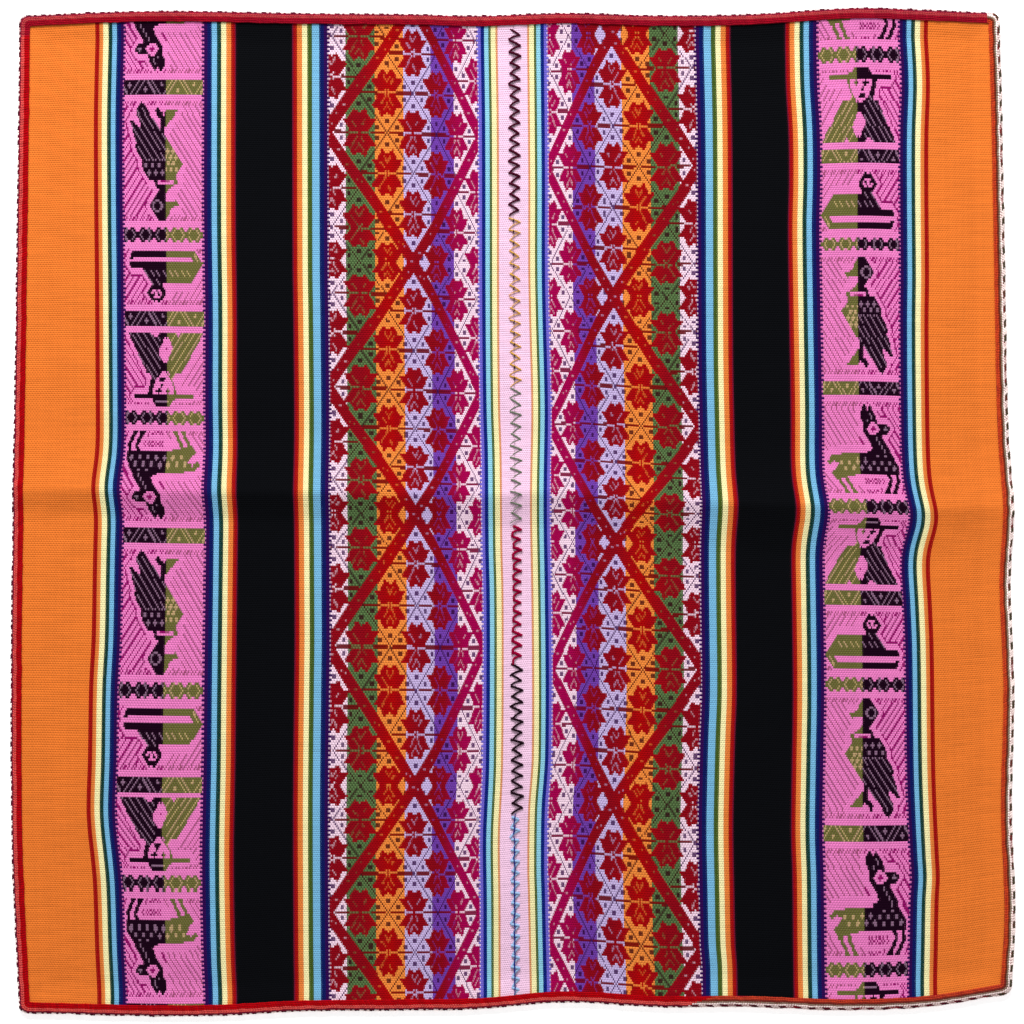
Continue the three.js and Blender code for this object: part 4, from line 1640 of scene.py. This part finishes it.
@dataclass(frozen=True)
class TubeWool:
    """The deep red weave of the edging's tube, seen between its floats and from below."""

    patch_scale: float = 260.0
    fibre: Fibre = Fibre(1800.0, 3.0, 0.0002, 0.7, 0.35)

    def build(self) -> bpy.types.Material:
        """Makes the material."""
        wool = Wool("Edging tube wool")
        patches = wool.noise(self.patch_scale, 2.0)
        base = wool.mixed(patches, Tone.EDGING_RED.rgba(), Tone.MAROON.rgba())
        return wool.fibrous(base, self.fibre, wool.noise(self.fibre.scale, self.fibre.detail))


@dataclass(frozen=True)
class SeamYarn:
    """A sewing yarn: one colour with a slight change along it."""

    tone: Tone
    fibre: Fibre = Fibre(2400.0, 2.0, 0.00015, 0.8, 0.4)

    def build(self) -> bpy.types.Material:
        """Makes the yarn's material, once for each colour."""
        name = "Seam yarn " + self.tone.name.lower().replace("_", " ")
        known = bpy.data.materials.get(name)
        if known:
            return known
        wool = Wool(name)
        return wool.fibrous(self.tone.rgba(), self.fibre, wool.noise(self.fibre.scale, self.fibre.detail))


@dataclass(frozen=True)
class SeamRun:
    """A stretch of the seam sewn in one way, from its upper end to its lower end.

    A stitch goes from its left place to its right place and back, and may have a dash across it. Each
    place is in millimetres across and in stitches along the seam.
    """

    name: str
    top: float
    bottom: float
    stroke: Tone
    stroke_radius: float
    dash: Tone | None = None
    dash_radius: float = 0.35
    return_share: float = 0.8
    left: tuple[float, float] = (-2.6, 0.28)
    right: tuple[float, float] = (3.8, -0.18)
    back: tuple[float, float] = (-2.6, -0.72)
    dash_ends: tuple[tuple[float, float], tuple[float, float]] = ((0.3, 0.15), (-0.3, -0.15))
    dash_lift: float = 0.7


@dataclass
class Seam:
    """The looped zigzag of sewing yarn that joins the two webs."""

    PITCH: float = 6.75
    PATH_STEPS: int = 601
    PATH_LIFT: float = 0.3
    END_LIFT: float = 0.2
    # Height of the middle, and how far it lies aside and, in stitches, up from the straight line
    STROKE_BOW: tuple[float, float, float] = (1.1, 0.3, 0.05)
    RETURN_BOW: tuple[float, float, float] = (0.7, -0.8, 0.15)
    DASH_RISE: float = 0.5
    runs: tuple[SeamRun, ...] = (
        SeamRun("dark_upper", 296.0, 181.8, Tone.SEAM_MAROON, 0.72),
        SeamRun("gold", 181.8, 77.5, Tone.GOLD, 0.44, Tone.SEAM_BLACK, return_share=0.55),
        SeamRun("grey_green", 77.5, -6.7, Tone.GREY_GREEN, 0.5, return_share=0.55),
        SeamRun(
            "crimson", -6.7, -91.5, Tone.SEAM_CRIMSON, 0.95, Tone.SEAM_CRIMSON, 0.8,
            left=(-1.3, 0.3), right=(3.7, -0.02), back=(-1.3, -0.34),
            dash_ends=((-1.3, -0.3), (-1.4, -0.76)),
        ),
        SeamRun(
            "dark_lower", -91.5, -183.0, Tone.SEAM_BLACK, 0.72,
            left=(-2.7, 0.28), right=(4.3, -0.18), back=(-2.7, -0.72),
        ),
        SeamRun(
            "pale_blue", -183.0, -295.0, Tone.PALE_BLUE, 0.85, Tone.DEEP_BLUE, 0.38,
            left=(-3.0, 0.15), right=(1.9, 0.0), back=(-2.5, -0.8), dash_ends=((-0.9, 0.5), (-1.0, -0.42)),
            dash_lift=1.5,
        ),
    )

    def path(self, run: SeamRun) -> Array:
        """Points along one run of the seam, on the cloth's upper side."""
        ups = np.linspace(0, 1, self.PATH_STEPS)
        flat = along_side(seam_x, ups)
        height = CLOTH_THICK + self.PATH_LIFT + crease_height(flat[:, 0], ups)
        points = np.column_stack([flat, height])[::-1]
        half = self.PITCH / 2
        return points[(points[:, 1] < run.top - half) & (points[:, 1] > run.bottom + half)]

    def bend(
        self, start: Sequence[float], end: Sequence[float], low: float, bow: Sequence[float]
    ) -> tuple[Point, Point, Point]:
        """Start, middle and end of a stitch that rises between two places.

        Args:
            start: Where it begins, in millimetres across and in stitches along.
            end: Where it ends.
            low: Height of its ends.
            bow: Height of its middle, and how far that lies aside and, in stitches, up.

        Returns:
            The three places in millimetres.
        """
        high, aside, along = bow
        middle = ((start[0] + end[0]) / 2 + aside, ((start[1] + end[1]) / 2 + along) * self.PITCH, high)
        return (start[0], start[1] * self.PITCH, low), middle, (end[0], end[1] * self.PITCH, low)

    def build(self) -> list[bpy.types.Object]:
        """Makes the stitches of every run."""
        tree = stitch_repeater()
        pieces = []
        for seed, run in enumerate(self.runs):
            count = round((run.top - run.bottom) / self.PITCH)
            radius = run.stroke_radius
            there = self.bend(run.left, run.right, self.END_LIFT, self.STROKE_BOW)
            back = self.bend(run.right, run.back, self.END_LIFT, self.RETURN_BOW)
            stitches = [
                ("stroke", *there, radius, run.stroke),
                ("return", *back, radius * run.return_share, run.stroke),
            ]
            if run.dash:
                bow = (run.dash_lift + self.DASH_RISE, 0.0, 0.0)
                across = self.bend(*run.dash_ends, run.dash_lift, bow)
                stitches.append(("dash", *across, run.dash_radius, run.dash))
            for kind, start, middle, end, thick, tone in stitches:
                name = f"seam_{run.name}_{kind}"
                values = {
                    "Count": count,
                    "Start": [n * MM for n in start],
                    "Middle": [n * MM for n in middle],
                    "End": [n * MM for n in end],
                    "Radius": thick * MM,
                    "Seed": seed,
                    "Yarn": SeamYarn(tone).build(),
                }
                pieces.append(tree.apply(name, path_mesh(name, self.path(run), closed=False), values))
        return pieces


@dataclass(frozen=True)
class Lamp:
    """A soft box that looks at the cloth."""

    name: str
    place: Point
    power: float
    size: float

    def build(self) -> None:
        """Makes the light."""
        data = bpy.data.lights.new(self.name, "AREA")
        data.energy = self.power
        data.size = self.size
        lamp = bpy.data.objects.new(self.name, data)
        lamp.location = self.place
        lamp.rotation_euler = (-Vector(self.place)).to_track_quat("-Z", "Y").to_euler()
        bpy.context.scene.collection.objects.link(lamp)


@dataclass
class Studio:
    """Camera, floor and lights."""

    FRAME_WIDE: float = 624.6 * MM
    LENS: float = 85.0
    SENSOR: float = 36.0
    FLOOR_HALF: float = 3.0
    FLOOR_LEVEL: float = -0.3
    FLOOR_TONE: tuple[float, ...] = (0.93, 0.93, 0.93, 1.0)
    FLOOR_FIBRE: Fibre = Fibre(900.0, 2.0, 0.00005, 0.995, 0.01)
    FLOOR_ROUGHNESS: float = 0.9
    FLOOR_GLOW: float = 0.5
    SKY_STRENGTH: float = 0.36
    lamps: tuple[Lamp, ...] = (
        Lamp("Key", (-0.3, 2.1, 1.25), 86.0, 0.9),
        Lamp("Fill", (0.6, -1.3, 1.6), 7.0, 1.4),
    )

    def build(self) -> None:
        """Makes everything that isn't the cloth."""
        self.camera()
        self.floor()
        for lamp in self.lamps:
            lamp.build()
        world = bpy.data.worlds.new("Studio")
        world.use_nodes = True
        sky = world.node_tree.nodes["Background"]
        sky.inputs["Color"].default_value = (1, 1, 1, 1)
        sky.inputs["Strength"].default_value = self.SKY_STRENGTH
        bpy.context.scene.world = world
        bpy.context.scene.view_settings.view_transform = "Standard"

    def camera(self) -> None:
        """Looks straight down with the frame's width across the cloth."""
        data = bpy.data.cameras.new("Camera")
        data.lens = self.LENS
        data.sensor_width = self.SENSOR
        eye = bpy.data.objects.new("Camera", data)
        eye.location = (0, 0, self.FRAME_WIDE * self.LENS / self.SENSOR + CLOTH_THICK * MM)
        bpy.context.scene.collection.objects.link(eye)
        bpy.context.scene.camera = eye

    def floor(self) -> None:
        """A pale sheet under the cloth."""
        half = self.FLOOR_HALF / MM
        square = ((-half, -half), (half, -half), (half, half), (-half, half))
        corners = np.array([(x, y, self.FLOOR_LEVEL) for x, y in square])
        mesh = quads_mesh("studio_floor", corners, np.array([[0, 1, 2, 3]]))
        paint = Wool("Studio floor")
        fibre = self.FLOOR_FIBRE
        grain = paint.noise(fibre.scale, fibre.detail)
        colour = paint.shaded(self.FLOOR_TONE, grain * fibre.more + fibre.least)
        normal = paint.bumped(grain, fibre.depth)
        floor = add_object(mesh, paint.finish(colour, self.FLOOR_ROUGHNESS, normal, 0.0))
        surface = next(n for n in paint.tree.nodes if n.type == "BSDF_PRINCIPLED")
        surface.inputs["Emission Color"].default_value = (1, 1, 1, 1)
        surface.inputs["Emission Strength"].default_value = self.FLOOR_GLOW


LEFT_WEB = Web(
    side=Side.LEFT,
    node="left_web",
    first_pick=-56,
    last_pick=406,
    picks=line(
        (-56, 303.0), (-53, 298.9), (0, 230.0), (60, 151.9), (120, 73.8), (180, -0.6), (240, -81.7),
        (300, -167.1), (360, -245.2), (402, -299.5), (406, -305.0),
    ),
    first_line=254.1,
    last_line=8.1,
    drifts=(
        line(
            (-290, -1.5), (-262, -0.1), (-234, 0.8), (-220, 1.5), (-206, 2.9), (-192, 4.5), (-178, 5.3),
            (-150, 4.4), (-105, 3.6), (-77, 2.1), (-21, 1.0), (7, -0.4), (120, -0.1), (232, 0.8),
            (288, -0.2),
        ),
        line(
            (-290, -1.1), (-262, 0.1), (-206, 0.9), (-150, 0.0), (-105, -0.4), (-21, -1.5), (7, -2.2),
            (35, -1.5), (63, -1.0), (120, -1.0), (176, -0.3), (288, -0.3),
        ),
        line(
            (-290, -1.3), (-262, -0.9), (-178, -0.6), (-105, -1.3), (-77, -1.6), (7, -1.2), (63, -1.3),
            (120, -0.8), (148, -0.4), (288, -0.1),
        ),
        line(
            (-290, -1.7), (-234, -1.6), (-206, -1.2), (-192, -1.4), (-178, -2.1), (-163, -2.9),
            (-150, -3.3), (-105, -3.6), (-49, -3.5), (-21, -2.8), (35, -2.3), (63, -1.4), (120, -0.8),
            (232, -0.6), (288, 0.2),
        ),
    ),
    jog=line((0, 0.0), (110, 0.0), (150, 0.6), (190, 1.6), (238, 2.4), (300, 1.6)),
    figure_picks=line(
        (-56, 405.9), (-21.6, 371.5), (46.9, 303.5), (86.2, 262.5), (133.0, 215.5), (190.3, 159.5),
        (258.2, 91.5), (297.7, 50.5), (343.4, 3.5), (403.5, -52.5), (406, -55.0),
    ),
    flower_picks=line(
        (-56, -54.6), (-1.1, 0.0), (59.1, 60.0), (118.6, 120.0), (180, 180.0), (240, 240.0), (300, 300.0),
        (359.6, 360.0), (406, 405.6),
    ),
    flower_slant=line((-56, -1.5), (0, -1.5), (120, -1.9), (240, 0.0), (360, -0.4), (406, 0.0)),
)
RIGHT_WEB = Web(
    side=Side.RIGHT,
    node="right_web",
    first_pick=-8,
    last_pick=452,
    picks=line(
        (-8, 303.4), (-4.5, 298.9), (0, 293.0), (60, 210.6), (120, 133.4), (180, 53.3), (240, -15.9),
        (300, -93.3), (360, -172.2), (420, -258.6), (449, -297.7), (452, -302.0),
    ),
    first_line=255.0,
    last_line=11.5,
    drifts=(
        line(
            (-290, 4.1), (-262, 4.6), (-234, 5.1), (-220, 5.8), (-206, 5.1), (-178, 3.8), (-150, 2.9),
            (-77, 2.0), (-49, 0.9), (-21, -0.5), (7, 0.4), (63, -0.7), (120, -1.1), (148, -0.8),
            (204, -1.2), (232, -1.1), (260, -0.2), (288, -1.5),
        ),
        line(
            (-290, 1.3), (-262, 0.9), (-220, 0.5), (-192, -0.3), (-150, 0.2), (-105, 0.8), (-49, 0.2),
            (7, -0.8), (63, -0.5), (120, -1.4), (176, -2.2), (204, -1.6), (232, -1.9), (260, -3.5),
            (288, -4.0),
        ),
        line(
            (-290, 1.2), (-276, 1.0), (-262, 0.0), (-234, -0.6), (-192, -1.3), (-163, -0.9), (-135, -0.2),
            (-105, 0.8), (-49, 0.3), (35, -0.2), (92, -1.3), (148, -1.6), (232, -1.9), (288, -3.1),
        ),
        line(
            (-290, -1.2), (-234, -2.3), (-220, -2.7), (-192, -2.5), (-178, -2.0), (-163, -0.7),
            (-150, 0.1), (-105, 0.3), (-49, -0.2), (7, -1.1), (63, -0.2), (120, -1.6), (148, -2.1),
            (204, -2.1), (288, -2.8),
        ),
    ),
    jog=line((0, 0.0), (110, 0.4), (137, 1.5), (174, 3.0), (240, 4.0), (300, 3.0)),
    figure_picks=line(
        (-8, -17.5), (12.1, 3.5), (55.6, 50.5), (95.5, 91.5), (159.5, 159.5), (217.5, 215.5),
        (264.2, 262.5), (305.0, 303.5), (373.8, 371.5), (433.3, 427.5), (452, 446.2),
    ),
    flower_picks=line(
        (-8, 50.2), (1.8, 60.0), (60.2, 120.0), (122, 180.0), (180, 240.0), (242.4, 300.0),
        (301.9, 360.0), (364, 420.0), (423.8, 480.0), (452, 508.2),
    ),
    flower_slant=line(
        (-8, -3.4), (60, -3.4), (180, -3.0), (300, -3.8), (360, -1.0), (420, 2.5), (452, 2.5),
    ),
)


def dress(pieces: Sequence[bpy.types.Object]) -> None:
    """Puts pieces on the cloth's body."""
    for piece in pieces:
        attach(piece, BODY)
        log.info("%s: %d faces", piece.name, len(piece.data.polygons))


def main() -> None:
    """Builds the scene in order."""
    logging.basicConfig(level=logging.INFO, format="%(message)s")
    Studio().build()
    for web in (LEFT_WEB, RIGHT_WEB):
        piece = web.build()
        dress([piece])
        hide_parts(web.node)
    dress(Edging().build())
    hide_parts("edging")
    dress(Seam().build())


if __name__ == "__main__":
    main()
